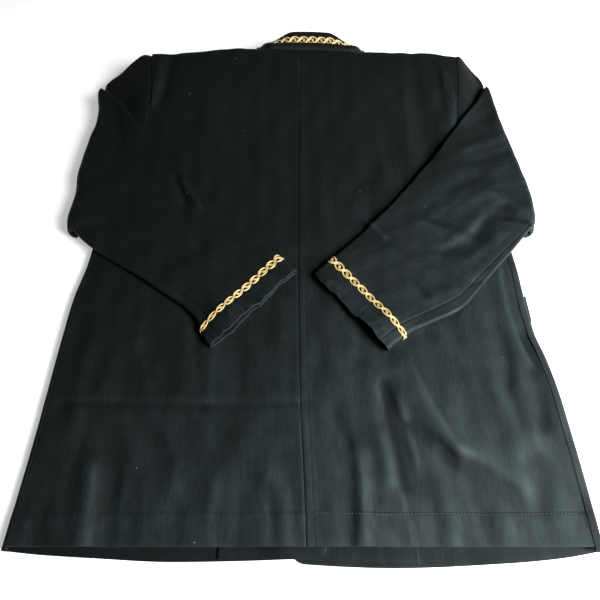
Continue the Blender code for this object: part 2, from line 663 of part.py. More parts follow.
def neck_base(turn):
    """The neck seam as a loop: turn -1 and 1 are the front centre, 0 the centre back."""
    share = np.abs(turn)
    at_back = share <= 0.5
    back = NECK_HALF * np.sin(np.clip(share / 0.5, 0, 1) * math.pi / 2)
    front = COLLAR_GAP + (NECK_HALF - COLLAR_GAP) * np.cos(np.clip((share - 0.5) / 0.5, 0, 1) * math.pi / 2)
    x = NECK_X + np.sign(turn) * np.where(at_back, back, front)
    top_y, top_z = far_point(x, neck_angle(x) + as_angle(CURVED_SEAM / 2))
    low_y, low_z = front_section(RIGHT, x, neckline(x) + CURVED_SEAM)
    inset = 1.8 * CURVED_SEAM / NECK_HALF * soft((share - 0.5) / 0.1)
    x = NECK_X + (x - NECK_X) * (1 - inset)
    return x, np.where(at_back, top_y, low_y), np.where(at_back, top_z, low_z)


def collar_point(turn, along):
    """A point of the collar's outer face, along its section from the neck seam."""
    x, y, z = neck_base(turn)
    share = np.abs(turn)
    stand = 1 - soft((share - 0.32) / 0.22)
    floor = soft((share - 0.52) / 0.2)
    drop = COLLAR_DROP["depth"] * soft((np.abs(x - NECK_X) - COLLAR_DROP["from"]) / COLLAR_DROP["over"])
    sink = drop * (along / COLLAR_SECTION["along"][-1]) ** 2 * (1 - floor)
    out = collar_out(along) * stand + along * (1 - stand)
    rest = COLLAR_FLOOR_GAP * soft(along / 8)
    up = collar_up(along) * stand + rest * floor - sink
    return stacked(x, y + out, np.maximum(z + up, rest))


def collar_rows():
    turns = np.linspace(-1, 1, COLLAR_TURNS + 1)
    rows = np.array([collar_point(turns, along) for along in COLLAR_SECTION["along"]])
    return turned(rows, (0, 0, 1))


# Braid, laid on the points of the piece that it is sewn to

def braid_strip(name, lower, upper, lower_normals, upper_normals, lift, closed=False):
    """A braid between two lines of a piece's points, with scalloped edges."""
    if closed:
        lower, upper = (np.concatenate([line, line[:1]]) for line in (lower, upper))
        lower_normals, upper_normals = (np.concatenate([n, n[:1]]) for n in (lower_normals, upper_normals))
    middle = (lower + upper) / 2
    length = np.concatenate([[0], np.cumsum(np.linalg.norm(np.diff(middle, axis=0), axis=1))])
    repeats = round(length[-1] / BRAID_REPEAT)
    places = list(length)
    for place in np.linspace(0, length[-1], repeats * BRAID_STEPS + 1):
        if min(abs(place - taken) for taken in length) > BRAID_LEAST_STEP:
            places.append(place)
    places = np.array(sorted(places))
    if closed:
        places = places[:-1]
    inset = BRAID_WAVE * (1 - np.abs(np.cos(math.pi * places * repeats / length[-1]))) / (2 * BRAID_HALF)

    def along(line):
        return np.stack([np.interp(places, length, line[:, i]) for i in range(3)], axis=-1)

    low, high, low_n, high_n = (along(line) for line in (lower, upper, lower_normals, upper_normals))
    inset = inset[:, None]
    base = np.array([low + (high - low) * inset, high + (low - high) * inset])
    normals = np.array([low_n, high_n])
    normals = normals / np.linalg.norm(normals, axis=2, keepdims=True)
    inner, outer = base + lift * normals, base + (lift + BRAID_WALL) * normals
    if np.dot(np.cross(outer[0, 1] - outer[0, 0], outer[1, 0] - outer[0, 0]), normals[0, 0]) < 0:
        inner, outer = inner[::-1], outer[::-1]
    sheet_object(name, outer, inner, "braid", closed)


def cuff_braid(side):
    """The ring of braid: along the upper piece from its forearm seam, then back along the under piece."""
    rings = np.array([
        np.concatenate([braid_ring(side, "upper", edge), braid_ring(side, "under", edge)[::-1]]) for edge in (-1, 1)])
    wrapped = np.concatenate([rings[:, -1:], rings, rings[:, :1]], axis=1)
    normals = np.cross(wrapped[:, 2:] - wrapped[:, :-2], rings[1] - rings[0])
    normals = normals / np.linalg.norm(normals, axis=2, keepdims=True)
    if np.einsum("ijk,ijk->", rings - rings.mean(axis=(0, 1)), normals) < 0:
        normals = -normals
    braid_strip(f"cuff_braid_{SIDE_NAMES[side]}", rings[0], rings[1], normals[0], normals[1], LAY + 0.05, closed=True)


def collar_and_braid():
    outer = collar_rows()
    cloth_object("collar", outer, COLLAR_WALL, "collar")
    normals = normals_of(outer)
    first = COLLAR_SECTION["along"].index(29.5)
    braid_strip("collar_braid", outer[first], outer[first + 1], normals[first], normals[first + 1], COLLAR_BRAID_LIFT)


def centre_on_origin():
    """Put the middle of the garment's box over the origin, with the surface it lies on at z = 0."""
    things = [thing for thing in bpy.data.objects if thing.type == "MESH"]
    corners = np.array([tuple(v.co) for thing in things for v in thing.data.vertices])
    low, high = corners.min(axis=0), corners.max(axis=0)
    shift = (-(low[0] + high[0]) / 2, -(low[1] + high[1]) / 2, -low[2])
    for thing in things:
        for vertex in thing.data.vertices:
            vertex.co = [vertex.co[i] + shift[i] for i in range(3)]
    print("origin moved by", [round(float(value) / MM, 2) for value in shift], "mm")


def main():
    for thing in list(bpy.data.objects):
        bpy.data.objects.remove(thing)
    for side in SIDE_NAMES:
        back_piece(side)
        front_piece(side)
        facing_piece(side)
        flap_piece(side)
        sleeve_pieces(side)
        cuff_braid(side)
    collar_and_braid()
    centre_on_origin()


main()
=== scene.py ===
import math

import bpy
import numpy as np
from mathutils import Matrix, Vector


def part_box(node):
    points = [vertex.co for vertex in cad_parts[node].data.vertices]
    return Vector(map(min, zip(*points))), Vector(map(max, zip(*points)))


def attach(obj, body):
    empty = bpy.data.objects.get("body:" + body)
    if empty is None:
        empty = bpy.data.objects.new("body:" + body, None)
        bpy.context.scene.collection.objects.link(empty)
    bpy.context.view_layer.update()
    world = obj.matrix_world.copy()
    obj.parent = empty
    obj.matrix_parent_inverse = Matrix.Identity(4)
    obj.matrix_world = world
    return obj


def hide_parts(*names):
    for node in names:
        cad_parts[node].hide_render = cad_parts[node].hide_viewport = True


# The jacket lies face down, hem towards the camera. All tables are in millimetres in the garment's own
# frame: x across from the middle, y from the back hem towards the collar, z up from the floor.
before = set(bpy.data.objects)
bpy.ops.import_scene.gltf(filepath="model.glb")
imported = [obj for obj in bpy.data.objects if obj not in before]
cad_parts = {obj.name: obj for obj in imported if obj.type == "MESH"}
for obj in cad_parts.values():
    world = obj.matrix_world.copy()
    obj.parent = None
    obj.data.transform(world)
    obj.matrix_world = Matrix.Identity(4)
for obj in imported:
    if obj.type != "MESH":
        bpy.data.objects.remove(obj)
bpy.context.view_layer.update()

mm = 0.001
sides = {-1: "left", 1: "right"}  # as seen from the hem
flapEdge = 270.5  # of the right pocket flap, from the middle
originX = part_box("pocket_flap_right")[1].x / mm - flapEdge
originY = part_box("back_left")[0].y / mm


# Rows of a small text table, each a dictionary by column name. A row may end early where the rest is 0.
def tableRows(text):
    head, *lines = [line.split() for line in text.strip().splitlines()]
    return [dict(zip(head, map(float, line))) for line in lines]


# Smooth function through a table's column, without overshoot
def curve(table, key, by="y"):
    xs, ys = np.array(table[by], float), np.array(table[key], float)
    steps = np.diff(xs)
    slopes = np.diff(ys) / steps
    lean = np.zeros(len(xs))
    lean[0], lean[-1] = slopes[0], slopes[-1]
    for i in range(1, len(xs) - 1):
        before, after = slopes[i - 1], slopes[i]
        if before * after > 0:
            w1, w2 = 2 * steps[i] + steps[i - 1], steps[i] + 2 * steps[i - 1]
            lean[i] = (w1 + w2) / (w1 / before + w2 / after)

    def value(x):
        x = np.clip(np.asarray(x, float), xs[0], xs[-1])
        i = np.clip(np.searchsorted(xs, x) - 1, 0, len(steps) - 1)
        t = (x - xs[i]) / steps[i]
        a = (1 + 2 * t) * (1 - t) ** 2
        start = a * ys[i] + t * (1 - t) ** 2 * steps[i] * lean[i]
        return start + (1 - a) * ys[i + 1] - t * t * (1 - t) * steps[i] * lean[i + 1]

    return value


def route(start, table, end):
    points = np.array([start, *zip(table["x"], table["y"]), *end], float)
    length = lengthAlong(points)
    share = {"share": length / length[-1], "x": points[:, 0], "y": points[:, 1]}
    across, up = curve(share, "x", "share"), curve(share, "y", "share")
    return lambda t: np.stack([across(t), up(t)], axis=-1)


def soft(t):
    t = np.clip(t, 0.0, 1.0)
    return t * t * (3 - 2 * t)


def bump(t):
    return np.exp(-np.square(t))


def stacked(*columns):
    return np.stack(np.broadcast_arrays(*columns), axis=-1)


# Distance along a line of points, from its first
def lengthAlong(points):
    return np.concatenate([[0], np.cumsum(np.linalg.norm(np.diff(points, axis=0), axis=1))])


# Places from 0 to length, a step apart, with the closer ones of near from 0 and of far from the end
def spread(length, step, near, far=(0.0,)):
    first, last = near[-1], length - far[-1]
    count = max(int(round((last - first) / step)), 1)
    return np.concatenate([near[:-1], np.linspace(first, last, count + 1), length - np.array(far[-2::-1])])


# Height of listed creases. Each runs from one end to the other, and fades at both.
def relief(creases, x, y):
    total = np.zeros(np.broadcast(x, y).shape)
    for c in creases:
        dx, dy = c["x1"] - c["x0"], c["y1"] - c["y0"]
        length = math.hypot(dx, dy)
        t = ((x - c["x0"]) * dx + (y - c["y0"]) * dy) / length**2
        offset = ((x - c["x0"]) * dy - (y - c["y0"]) * dx) / length + c.get("bow", 0.0) * 4 * t * (1 - t)
        beyond = np.maximum(np.maximum(-t, t - 1), 0.0) * length
        half = c["half"] * (1 + c.get("lean", 0.0) * np.tanh(offset / c["half"]))
        total = total + c["height"] * bump(offset / half) * bump(beyond / (1.5 * c["half"]))
    return total


# Gentle unevenness of cloth that was folded and laid out, with the given wave sizes
def softWaves(seed, x, y, across, along, height):
    chance, count = np.random.default_rng(seed), 14
    total = np.zeros(np.broadcast(x, y).shape)
    for _ in range(count):
        kx = chance.normal() * 2 * math.pi / across
        ky = chance.normal() * 2 * math.pi / along
        total = total + np.sin(kx * x + ky * y + chance.uniform(0, 2 * math.pi))
    return total * height / math.sqrt(count)


# The form of the laid body

bodyForm = {
    "centreBack": {"y": (0, 60, 140, 330, 700), "x": (6, 4, 0.5, -2, -1.5)},
    "half": {
        -1: {"y": (0, 60, 124, 196, 268, 320, 380, 432), "x": (274, 272, 270.5, 270, 268, 262, 259, 256)},
        1: {"y": (0, 60, 146, 192, 227, 265, 306, 380, 432),
            "x": (279, 279, 277, 273, 267, 265, 266, 262, 256)},
    },
    "armhole": {
        -1: {"y": (432, 455, 490, 541, 575, 606, 640, 660, 710),
             "x": (254, 243, 230, 222, 218, 217, 220.5, 223.5, 229)},
        1: {"y": (432, 455, 490, 530, 561, 608, 640, 660, 710),
            "x": (252, 246, 233, 225, 227, 232.5, 235, 236, 236)},
    },
    "shoulderLine": {
        "x": (-300, -239, -200, -150, -93, -60, 17, 95, 128, 190, 219, 237, 300),
        "y": (671, 676, 677, 681, 687, 686, 684, 679, 678, 677, 673, 670, 665),
    },
    "thickness": {
        "y": (-30, 100, 200, 300, 400, 500, 550, 600, 640, 700),
        "centre": (5.8, 6.0, 6.4, 8.6, 12.5, 21, 28, 38, 45, 52),
        "side": (10, 10, 10, 10.5, 11.5, 17, 24, 36, 44, 50),
        "fold": (9, 9, 9, 9, 9, 9, 10, 13, 20, 26),
    },
    "underarmY": 432.0,
    "edgeRadius": 5.0,
    "seamInboard": {-1: 6.0, 1: 10.0},
    "farRadius": 22.0,
    "seamAngle": 80.0,
    "backNeckAngle": 18.0,
    "neckX": 17.0,
    "neckHalf": 86.0,
    "frontNeckY": 610.0,
    "wall": 1.4,
    "seamGap": 0.02,  # half the space between sewn pieces
    "sleeveFrom": {"y": 372.0, "over": 40.0},  # above this the sleeve's first stretch lies beside the body
    # The laps of the fronts and facings lift the back over its middle
    "stack": {"height": 3.2, "x": 10.0, "half": 20.0, "side": 70.0, "y": 250.0, "over": 150.0},
    "neckFlat": {"half": 60.0, "over": 26.0},
}
largeFolds = tableRows("""
x0   y0   x1   y1   half height
108  172  158  96   17   4.0
92   132  112  62   12   -1.5
118  118  222  40   13   -1.6
205  150  226  108  16   3.5
214  226  226  132  14   -1.5
62   78   68   10   14   2.4
-208 60   -206 5    15   2.6
-160 205  -142 90   22   -1.4
-30  56   -30  4    14   2.0
168  628  176  500  16   -3.5
-196 660  -206 590  13   -3.0
""")
# Sharper creases of the back, seen in the raking light. lean makes one flank steeper, bow bends the line.
backCreases = tableRows("""
x0   y0   x1   y1   half height lean bow
90   156  103  58   6    -1.9   -0.4 2
76   152  88   64   8    1.5    0    2
104  140  114  78   7    1.3    0.3  0
120  186  156  92   9    1.6    0.5  -4
112  116  150  84   7    -1.5   0.4  5
150  84   206  44   8    -1.6   0.3  4
163  92   214  58   9    0.9    0    3
226  226  226  164  9    -1.2   0.5  4
236  160  240  104  11   1.1    -0.4 0
243  312  252  186  5    1.3    0.6  -7
254  214  252  118  9    -1.4   0    4
58   88   55   4    7    1.3    -0.4 3
72   70   70   6    8    -0.8
97   44   102  4    6.5  1.1    0.3  0
138  50   139  6    8    0.7
165  62   176  10   8    -0.8
226  74   226  16   11   -0.9
-250 137  -100 136  4.5  -0.8   0.5  1.5
-100 136  4    138  4.5  -0.5   0.5  -1
38   126  50   98   6    -0.9
76   150  84   118  6    -0.9   0.3  0
30   236  34   150  10   0.5    0    4
140  250  176  196  11   0.8    0    5
182  214  200  150  10   -0.6
-204 68   -197 3    8    1.2    0.4  0
-180 56   -176 3    7    -1.1
-232 70   -226 10   9    0.7
-150 50   -147 6    9    0.7
-85  54   -83  4    8    0.8
-58  42   -56  4    7    -0.6
-28  50   -23  4    6    -1.0
-14  44   -12  6    6    0.7
-64  196  -65  100  9    -0.5
-28  160  -23  84   8    -0.5
-100 232  -98  150  12   0.4
-185 186  -167 120  12   -0.9   0.4  0
-167 122  -136 84   12   -0.8   0.3  0
-132 90   -118 56   7    0.6
-236 200  -230 120  12   0.5
-218 290  -196 250  12   -0.6
68   560  67   380  14   0.6
112  575  130  505  15   -0.9   0    4
130  505  90   450  13   -0.8   0    3
36   470  32   400  12   0.4
150  640  158  560  12   0.6
-33  556  -53  430  14   0.5
-83  505  -10  392  13   -0.6
-120 600  -140 520  15   0.5
-212 652  -216 592  8    1.7    0.4  3
-196 668  -200 610  7    -1.0
-232 676  -220 610  6    0.8
190  570  188  486  11   -1.2   0.4  0
217  634  220  556  8    1.9    0.5  4
206  636  206  580  6    -1.0
218  630  221  612  3.5  -0.9
""")

# Painted shade along the deepest creases, where they lie in shadow. The height is how much darker it is.
paintedCreaseShade = tableRows("""
x0   y0   x1   y1   half height
91   158  103  60   4.5  -0.2
110  118  152  82   7    -0.12
150  82   190  52   8    -0.08
254  214  252  118  9    -0.12
-185 174  -138 86   9    -0.06
-30  52   -26  4    5    -0.08
57   86   55   4    5    -0.12
""")

centreBack = curve(bodyForm["centreBack"], "x")
shoulderLine = curve(bodyForm["shoulderLine"], "y", "x")
thickness = {key: curve(bodyForm["thickness"], key) for key in ("centre", "side", "fold")}
bodyHalf = {side: curve(bodyForm["half"][side], "x") for side in sides}
armhole = {side: curve(bodyForm["armhole"][side], "x") for side in sides}


def bodyEdge(side, y):
    y = np.asarray(y, float)
    flank = bodyHalf[side](y) - bodyForm["seamInboard"][side]
    return np.where(y < bodyForm["underarmY"], flank, armhole[side](y))


# Upper face of the body and of each sleeve's first stretch, without the fine creases
def topHeight(x, y):
    x, y = np.broadcast_arrays(np.asarray(x, float), np.asarray(y, float))
    height, start, stack = np.empty(x.shape), bodyForm["sleeveFrom"], bodyForm["stack"]
    for side, mask in ((-1, x < 0), (1, x >= 0)):
        out, ys = np.abs(x[mask]), y[mask]
        edge = bodyEdge(side, ys)
        inward = np.clip(out / edge, 0.0, 1.0)
        inner = thickness["side"](ys) + (thickness["centre"](ys) - thickness["side"](ys)) * (1 - inward**4)
        axis = foldAt(side, ys)
        beyond = soft((out - edge) / np.maximum(axis - edge, 10.0))
        beyond = beyond * soft((ys - start["y"]) / start["over"])
        height[mask] = inner + (thickness["fold"](ys) - inner) * beyond
    laps = stack["height"] * (1 - soft((np.abs(x - stack["x"]) - stack["half"]) / stack["side"]))
    return height + laps * (1 - soft((y - stack["y"]) / stack["over"])) + relief(largeFolds, x, y)


# Round the far edge of the shoulders: angle 0 is on top, 180 on the floor
def farPoint(x, angle):
    start = shoulderLine(x)
    half = topHeight(x, start) / 2
    turn = np.radians(angle)
    return start + bodyForm["farRadius"] * np.sin(turn), half + half * np.cos(turn)


def neckAngle(x):
    flat = bodyForm["neckFlat"]
    aside = soft((np.abs(x - bodyForm["neckX"]) - flat["half"]) / flat["over"])
    return bodyForm["backNeckAngle"] + (bodyForm["seamAngle"] - bodyForm["backNeckAngle"]) * aside


# Sleeves, folded over the back. A station runs along the sleeve: 0 armhole, 1 to 2 round the fold, 3 cuff.
# c runs across it. Layer 0 is the face that shows, 1 the one against the back.

sleeveForm = {
    "foldEdge": {
        -1: {"y": (340, 368, 390, 418, 470, 528, 558, 630, 650),
             "x": (286, 296, 299, 299, 303, 301, 297, 307, 309)},
        1: {"y": (340, 365, 390, 415, 461, 507, 578, 640, 660),
            "x": (284, 297, 304, 306, 304, 300, 292, 287, 284)},
    },
    "foldEnds": {-1: (628.0, 362.0), 1: (631.0, 362.0)},
    "bend": {
        "y": (350, 400, 470, 580, 645), "outer": (7, 10, 12, 11, 6.5), "inner": (2.4, 3, 4, 4, 2.4),
        "gap": (2, 4.5, 7, 7, 3.5),
    },
    "bendReach": 30.0,
    "shoulderPointY": {-1: 693.0, 1: 690.0},
    "head": {
        -1: {"x": (243, 272, 292, 299), "y": (699, 677, 662, 648)},
        1: {"x": (246, 262, 279, 282), "y": (697, 687, 665, 650)},
    },
    "under": {-1: {"x": (267,), "y": (408,)}, 1: {"x": (267,), "y": (408,)}},
    "upperEdge": {
        -1: {"x": (284, 227, 146, 70, 20, 4), "y": (617, 542, 441, 357, 318, 303)},
        1: {"x": (258, 226, 172, 95, 16), "y": (592, 548, 473, 378, 296)},
    },
    "lowerEdge": {
        -1: {"x": (265, 178, 117, 107, 99), "y": (342, 284, 233, 210, 200)},
        1: {"x": (262, 220, 184, 153, 127, 97), "y": (332, 286, 248, 233, 220, 197)},
    },
    "thick": 6.6,
    "mouth": {"from": 2.72, "over": 0.28, "height": 7.0, "c": 0.78, "half": 0.2},  # the cuff stands open here
    "edgeRadius": 4.0,
    "headRadius": 9.0,
    "lift": 1.9,
    "forearmSeam": {"station": (0, 1, 2, 2.25, 2.6, 3), "c": (0.88, 0.93, 0.965, 0.94, 0.91, 0.895)},
    "hindSeam": {"station": (0, 1, 3), "c": (0.64, 0.52, 0.46)},
}
# Creases of the folded stretches, placed on the plan as seen
sleeveCreases = tableRows("""
x0   y0   x1   y1   half height lean bow
179  330  222  356  11   -1.8   0.4  -3
222  356  262  398  11   -1.7   0.3  3
158  368  200  350  11   1.6    0.3  0
200  318  246  352  10   1.3    -0.3 0
241  477  289  496  9    -1.3   0.3  0
232  500  284  522  9    1.0
205  431  238  448  8    -1.0
136  286  146  270  5    -0.9
192  280  212  286  6    -0.9
150  262  190  280  7    0.9
92   368  104  352  5    1.5
110  330  150  300  10   0.7
276  618  282  530  9    1.1    0.3  3
264  560  292  470  10   -0.9
250  420  290  392  8    0.9
262  382  294  372  6    -1.0
60   300  92   262  8    0.5
30   290  44   276  5    0.7
-154 438 -132  402  6    1.7    0.4  0
-166 446 -150  408  6    -1.5
-247 507 -209  465  9    -1.2   0.3  0
-262 520 -226  486  8    0.8
-280 592 -254  518  10   -1.2   0.3  3
-268 600 -240  556  7    1.0
-262 408 -214  382  9    -1.1
-276 428 -232  408  8    0.9
-184 344 -148  318  8    -0.8
-186 426 -122  342  11   -0.8   0    4
-140 350 -96   300  9    0.6
-90  330 -64   304  8    -0.6
-60  318 -36   292  6    0.6
-250 372 -284  362  6    -0.9
""")

bend = {key: curve(sleeveForm["bend"], key) for key in ("outer", "inner", "gap")}
foldEdge = {side: curve(sleeveForm["foldEdge"][side], "x") for side in sides}
forearmSeam = curve(sleeveForm["forearmSeam"], "c", "station")
hindSeam = curve(sleeveForm["hindSeam"], "c", "station")


def armholeAt(side, y):
    return armhole[side](y) + bodyForm["seamGap"]


def foldAt(side, y):
    return foldEdge[side](y) - bend["outer"](y)


def sleeveLines(side):
    top, bottom = sleeveForm["foldEnds"][side]
    shoulderY, underarmY = sleeveForm["shoulderPointY"][side], bodyForm["underarmY"]
    far, near = (float(foldAt(side, top)), top), (float(foldAt(side, bottom)), bottom)
    return {
        "head": route((float(armholeAt(side, shoulderY)), shoulderY), sleeveForm["head"][side], [far]),
        "under": route((float(armholeAt(side, underarmY)), underarmY), sleeveForm["under"][side], [near]),
        "upper": route(far, sleeveForm["upperEdge"][side], []),
        "lower": route(near, sleeveForm["lowerEdge"][side], []),
    }


lines = {side: sleeveLines(side) for side in sides}


def armholeLine(side, c):
    top = sleeveForm["shoulderPointY"][side]
    y = top + (bodyForm["underarmY"] - top) * c
    return np.stack([armholeAt(side, y), y], axis=-1)


def foldLine(side, c):
    top, bottom = sleeveForm["foldEnds"][side]
    y = top + (bottom - top) * c
    return np.stack([foldAt(side, y), y], axis=-1)


def cuffLine(side, c):
    top, bottom = lines[side]["upper"](1.0), lines[side]["lower"](1.0)
    return top + (bottom - top) * c[..., None]


# Point of the surface between two long lines, far and near, and the lines at their ends
def patch(c, s, far, near, start, end):
    fromFar, fromStart = c[..., None], s[..., None]
    between = (1 - fromFar) * far(s) + fromFar * near(s) + (1 - fromStart) * start(c) + fromStart * end(c)
    farCorners = (1 - fromStart) * far(0.0) + fromStart * far(1.0)
    nearCorners = (1 - fromStart) * near(0.0) + fromStart * near(1.0)
    return between - (1 - fromFar) * farCorners - fromFar * nearCorners


def restHeight(side, x, y):
    spring = bend["gap"](y) * bump(np.maximum(foldAt(side, y) - x, 0.0) / sleeveForm["bendReach"])
    return topHeight(side * x, y) + sleeveForm["lift"] + spring


def tubeHeight(c, station):
    mouth = sleeveForm["mouth"]
    height = mouth["height"] * soft((station - mouth["from"]) / mouth["over"])
    return sleeveForm["thick"] + height * bump((c - mouth["c"]) / mouth["half"])


# Points of the sleeve's outer face, for arrays of the same shape
def sleevePoints(side, c, layer, station):
    out = np.zeros(c.shape + (3,))
    line = lines[side]
    first, last = station < 1, station >= 2
    turnOver = ~first & ~last
    if first.any():
        cc, ll, ss = c[first], layer[first], station[first]
        plan = patch(cc, ss, line["head"], line["under"],
                     lambda t: armholeLine(side, t), lambda t: foldLine(side, t))
        x, y = side * plan[:, 0], plan[:, 1]
        out[first] = stacked(x, y, ll * topHeight(x, np.minimum(y, shoulderLine(x))))
    if turnOver.any():
        cc, ll, ss = c[turnOver], layer[turnOver], station[turnOver] - 1
        x, y = foldLine(side, cc).T
        bottom, folded = topHeight(side * x, y), tubeHeight(cc, np.full(cc.shape, 2.0))
        depth = ll * (bottom + (folded - bottom) * ss)
        radius = bend["outer"](y) - (bend["outer"](y) - bend["inner"](y)) * ll
        middle = (restHeight(side, x, y) + folded) / 2
        turn = math.pi * ss
        height = middle - (middle - depth) * np.cos(turn)
        out[turnOver] = stacked(side * (x + radius * np.sin(turn)), y, height)
    if last.any():
        cc, ll, ss = c[last], layer[last], station[last]
        plan = patch(cc, ss - 2, line["upper"], line["lower"],
                     lambda t: foldLine(side, t), lambda t: cuffLine(side, t))
        x, y = plan[:, 0], plan[:, 1]
        out[last] = stacked(side * x, y, restHeight(side, x, y) + (1 - ll) * tubeHeight(cc, ss))
    return out


def sleeveWidth(side, station):
    line = lines[side]
    early = station <= 1
    s = np.where(early, station, np.maximum(station - 2, 0.0))
    first = np.linalg.norm(line["head"](s) - line["under"](s), axis=-1)
    last = np.linalg.norm(line["upper"](s) - line["lower"](s), axis=-1)
    return np.where(early, first, last)


# c and layer round the sleeve at each station, for its upper or under piece
def halfRing(side, stations, which, face, edge, under):
    head, tail = soft(stations), soft((stations - 2) / 0.3)
    width = sleeveWidth(side, stations)
    upper = bodyForm["farRadius"] + (sleeveForm["headRadius"] - bodyForm["farRadius"]) * head
    upper = (upper + (sleeveForm["edgeRadius"] - upper) * tail) / width
    lower = (bodyForm["edgeRadius"] + (sleeveForm["edgeRadius"] - bodyForm["edgeRadius"]) * head) / width
    gap = bodyForm["seamGap"] / width * (-1 if which == "upper" else 1)
    first, last = (forearmSeam(stations) + gap)[:, None], (hindSeam(stations) + gap)[:, None]
    turn = np.linspace(0, math.pi, edge)
    curl = 1 - np.sin(turn)[None, :]
    if which == "upper":
        corner, arc = upper[:, None], upper[:, None] * curl
    else:
        corner, arc = 1 - lower[:, None], 1 - lower[:, None] * curl
    faceC, underC = first + (corner - first) * face[None, :-1], corner + (last - corner) * under[None, 1:]
    c = np.concatenate([faceC, arc, underC], axis=1)
    layer = np.concatenate([np.zeros(len(face) - 1), (1 - np.cos(turn)) / 2, np.ones(len(under) - 1)])
    return c, np.broadcast_to(layer, c.shape)


# Meshes

def normalsOf(grid):
    normal = np.cross(np.gradient(grid, axis=1), np.gradient(grid, axis=0))
    return normal / np.maximum(np.linalg.norm(normal, axis=2, keepdims=True), 1e-9)


# Normals round a sleeve that point away from its middle, judged from the given row on
def outwardNormals(points, row=0):
    normals = normalsOf(points)
    away = points - points.mean(axis=1, keepdims=True)
    return -normals if np.einsum("ijk,ijk->", away[row:], normals[row:]) < 0 else normals


def addObject(name, data):
    thing = bpy.data.objects.new(name, data)
    bpy.context.scene.collection.objects.link(thing)
    return thing


# A piece of the jacket from points in millimetres of the garment's frame
def newObject(name, points, faceSets, uvs, shade, finish):
    mesh = bpy.data.meshes.new(name)
    place = (points + np.array([originX, originY, 0.0])) * mm
    corners = np.concatenate([faces.ravel() for faces in faceSets]).astype(np.int32)
    sizes = np.concatenate([np.full(len(faces), faces.shape[1], np.int32) for faces in faceSets])
    mesh.vertices.add(len(place))
    mesh.vertices.foreach_set("co", place.astype(np.float32).ravel())
    mesh.loops.add(len(corners))
    mesh.loops.foreach_set("vertex_index", corners)
    mesh.polygons.add(len(sizes))
    mesh.polygons.foreach_set("loop_start", (np.cumsum(sizes) - sizes).astype(np.int32))
    mesh.polygons.foreach_set("use_smooth", np.ones(len(sizes), bool))
    mesh.update(calc_edges=True)
    if mesh.validate():
        print("mended", name)
    mesh.uv_layers.new(name="cloth").data.foreach_set("uv", uvs[corners].astype(np.float32).ravel())
    # The attribute carries the pale of wear and painted shade: hollows, deep creases, covered parts and cord
    # undersides are drawn darker.
    mesh.attributes.new("wearAndPaintedShade", "FLOAT", "POINT").data.foreach_set("value", shade.astype(np.float32))
    mesh.materials.append(finish)
    return addObject(name, mesh)


# A closed sheet behind its outer face, with a rounded edge. The face points up at one place, or down.
def clothShell(name, outer, wall, uv, shade, finish, at, up=1):
    if normalsOf(outer)[at][2] * up <= 0:
        outer, uv, shade = outer[:, ::-1], uv[:, ::-1], shade[:, ::-1]
    rows, columns = outer.shape[:2]
    normals = normalsOf(outer)
    rim = np.zeros((rows, columns, 1), bool)
    rim[[0, -1]] = True
    rim[:, [0, -1]] = True
    pull = np.zeros_like(outer)
    pull[0] += outer[1] - outer[0]
    pull[-1] += outer[-2] - outer[-1]
    pull[:, 0] += outer[:, 1] - outer[:, 0]
    pull[:, -1] += outer[:, -2] - outer[:, -1]
    size = np.maximum(np.linalg.norm(pull, axis=2, keepdims=True), 1e-6)
    pull = pull / size * np.minimum(0.3 * wall, 0.45 * size) * rim
    count = rows * columns
    index = np.arange(count).reshape(rows, columns)
    ring = np.concatenate([index[0, :-1], index[:-1, -1], index[-1, :0:-1], index[:0:-1, 0]])
    middle, inner = outer - wall / 2 * normals, outer - wall * normals
    points = np.concatenate([grid.reshape(-1, 3) for grid in (outer + pull, inner + pull, middle)])
    points = np.concatenate([points[:2 * count], points[2 * count:][ring]])
    points[:, 2] = np.maximum(points[:, 2], 0.0)
    top = np.stack([index[:-1, :-1], index[:-1, 1:], index[1:, 1:], index[1:, :-1]], axis=-1).reshape(-1, 4)
    normal = np.cross(points[top[:, 1]] - points[top[:, 0]], points[top[:, 3]] - points[top[:, 0]])
    outward = np.einsum("ij,ij->i", normal, normals.reshape(-1, 3)[top[:, 0]]).sum() > 0
    following = np.roll(ring, -1)
    e = 2 * count + np.arange(len(ring))
    f = np.roll(e, -1)
    rimTop = np.stack([ring, e, f, following], axis=-1)
    rimBottom = np.stack([e, ring + count, following + count, f], axis=-1)
    faces = np.concatenate([top, top[:, ::-1] + count, rimTop, rimBottom])
    if not outward:
        faces = faces[:, ::-1]
    uv, shade = uv.reshape(-1, 2), shade.ravel()
    uvs, shades = np.concatenate([uv, uv, uv[ring]]), np.concatenate([shade, shade, shade[ring]])
    return newObject(name, points, [faces], uvs, shades, finish)


# Materials

# A linear colour from an sRGB hex value
def colour(hexValue):
    parts = [int(hexValue[i:i + 2], 16) / 255 for i in (1, 3, 5)]
    return [p / 12.92 if p <= 0.04045 else ((p + 0.055) / 1.055) ** 2.4 for p in parts] + [1.0]


# Sets a node's inputs, or links them. A node given as a value stands for its first output.
def setInputs(tree, node, values):
    for key, value in values.items():
        if isinstance(value, bpy.types.Node):
            value = value.outputs[0]
        if isinstance(value, bpy.types.NodeSocket):
            tree.links.new(value, node.inputs[key])
        else:
            node.inputs[key].default_value = value


# One node with its settings and inputs, and a ramp's stops: its two ends, then those between
def addNode(tree, kind, settings, inputs, stops=()):
    node = tree.nodes.new("ShaderNode" + kind)
    for key, value in settings.items():
        setattr(node, key, value)
    setInputs(tree, node, inputs)
    for i, (position, tone) in enumerate(stops):
        stop = node.color_ramp.elements[i] if i < 2 else node.color_ramp.elements.new(position)
        stop.position, stop.color = position, tone
    return node


def newMaterial(name):
    finish = bpy.data.materials.new(name)
    finish.use_nodes = True
    return finish, finish.node_tree, finish.node_tree.nodes["Principled BSDF"]


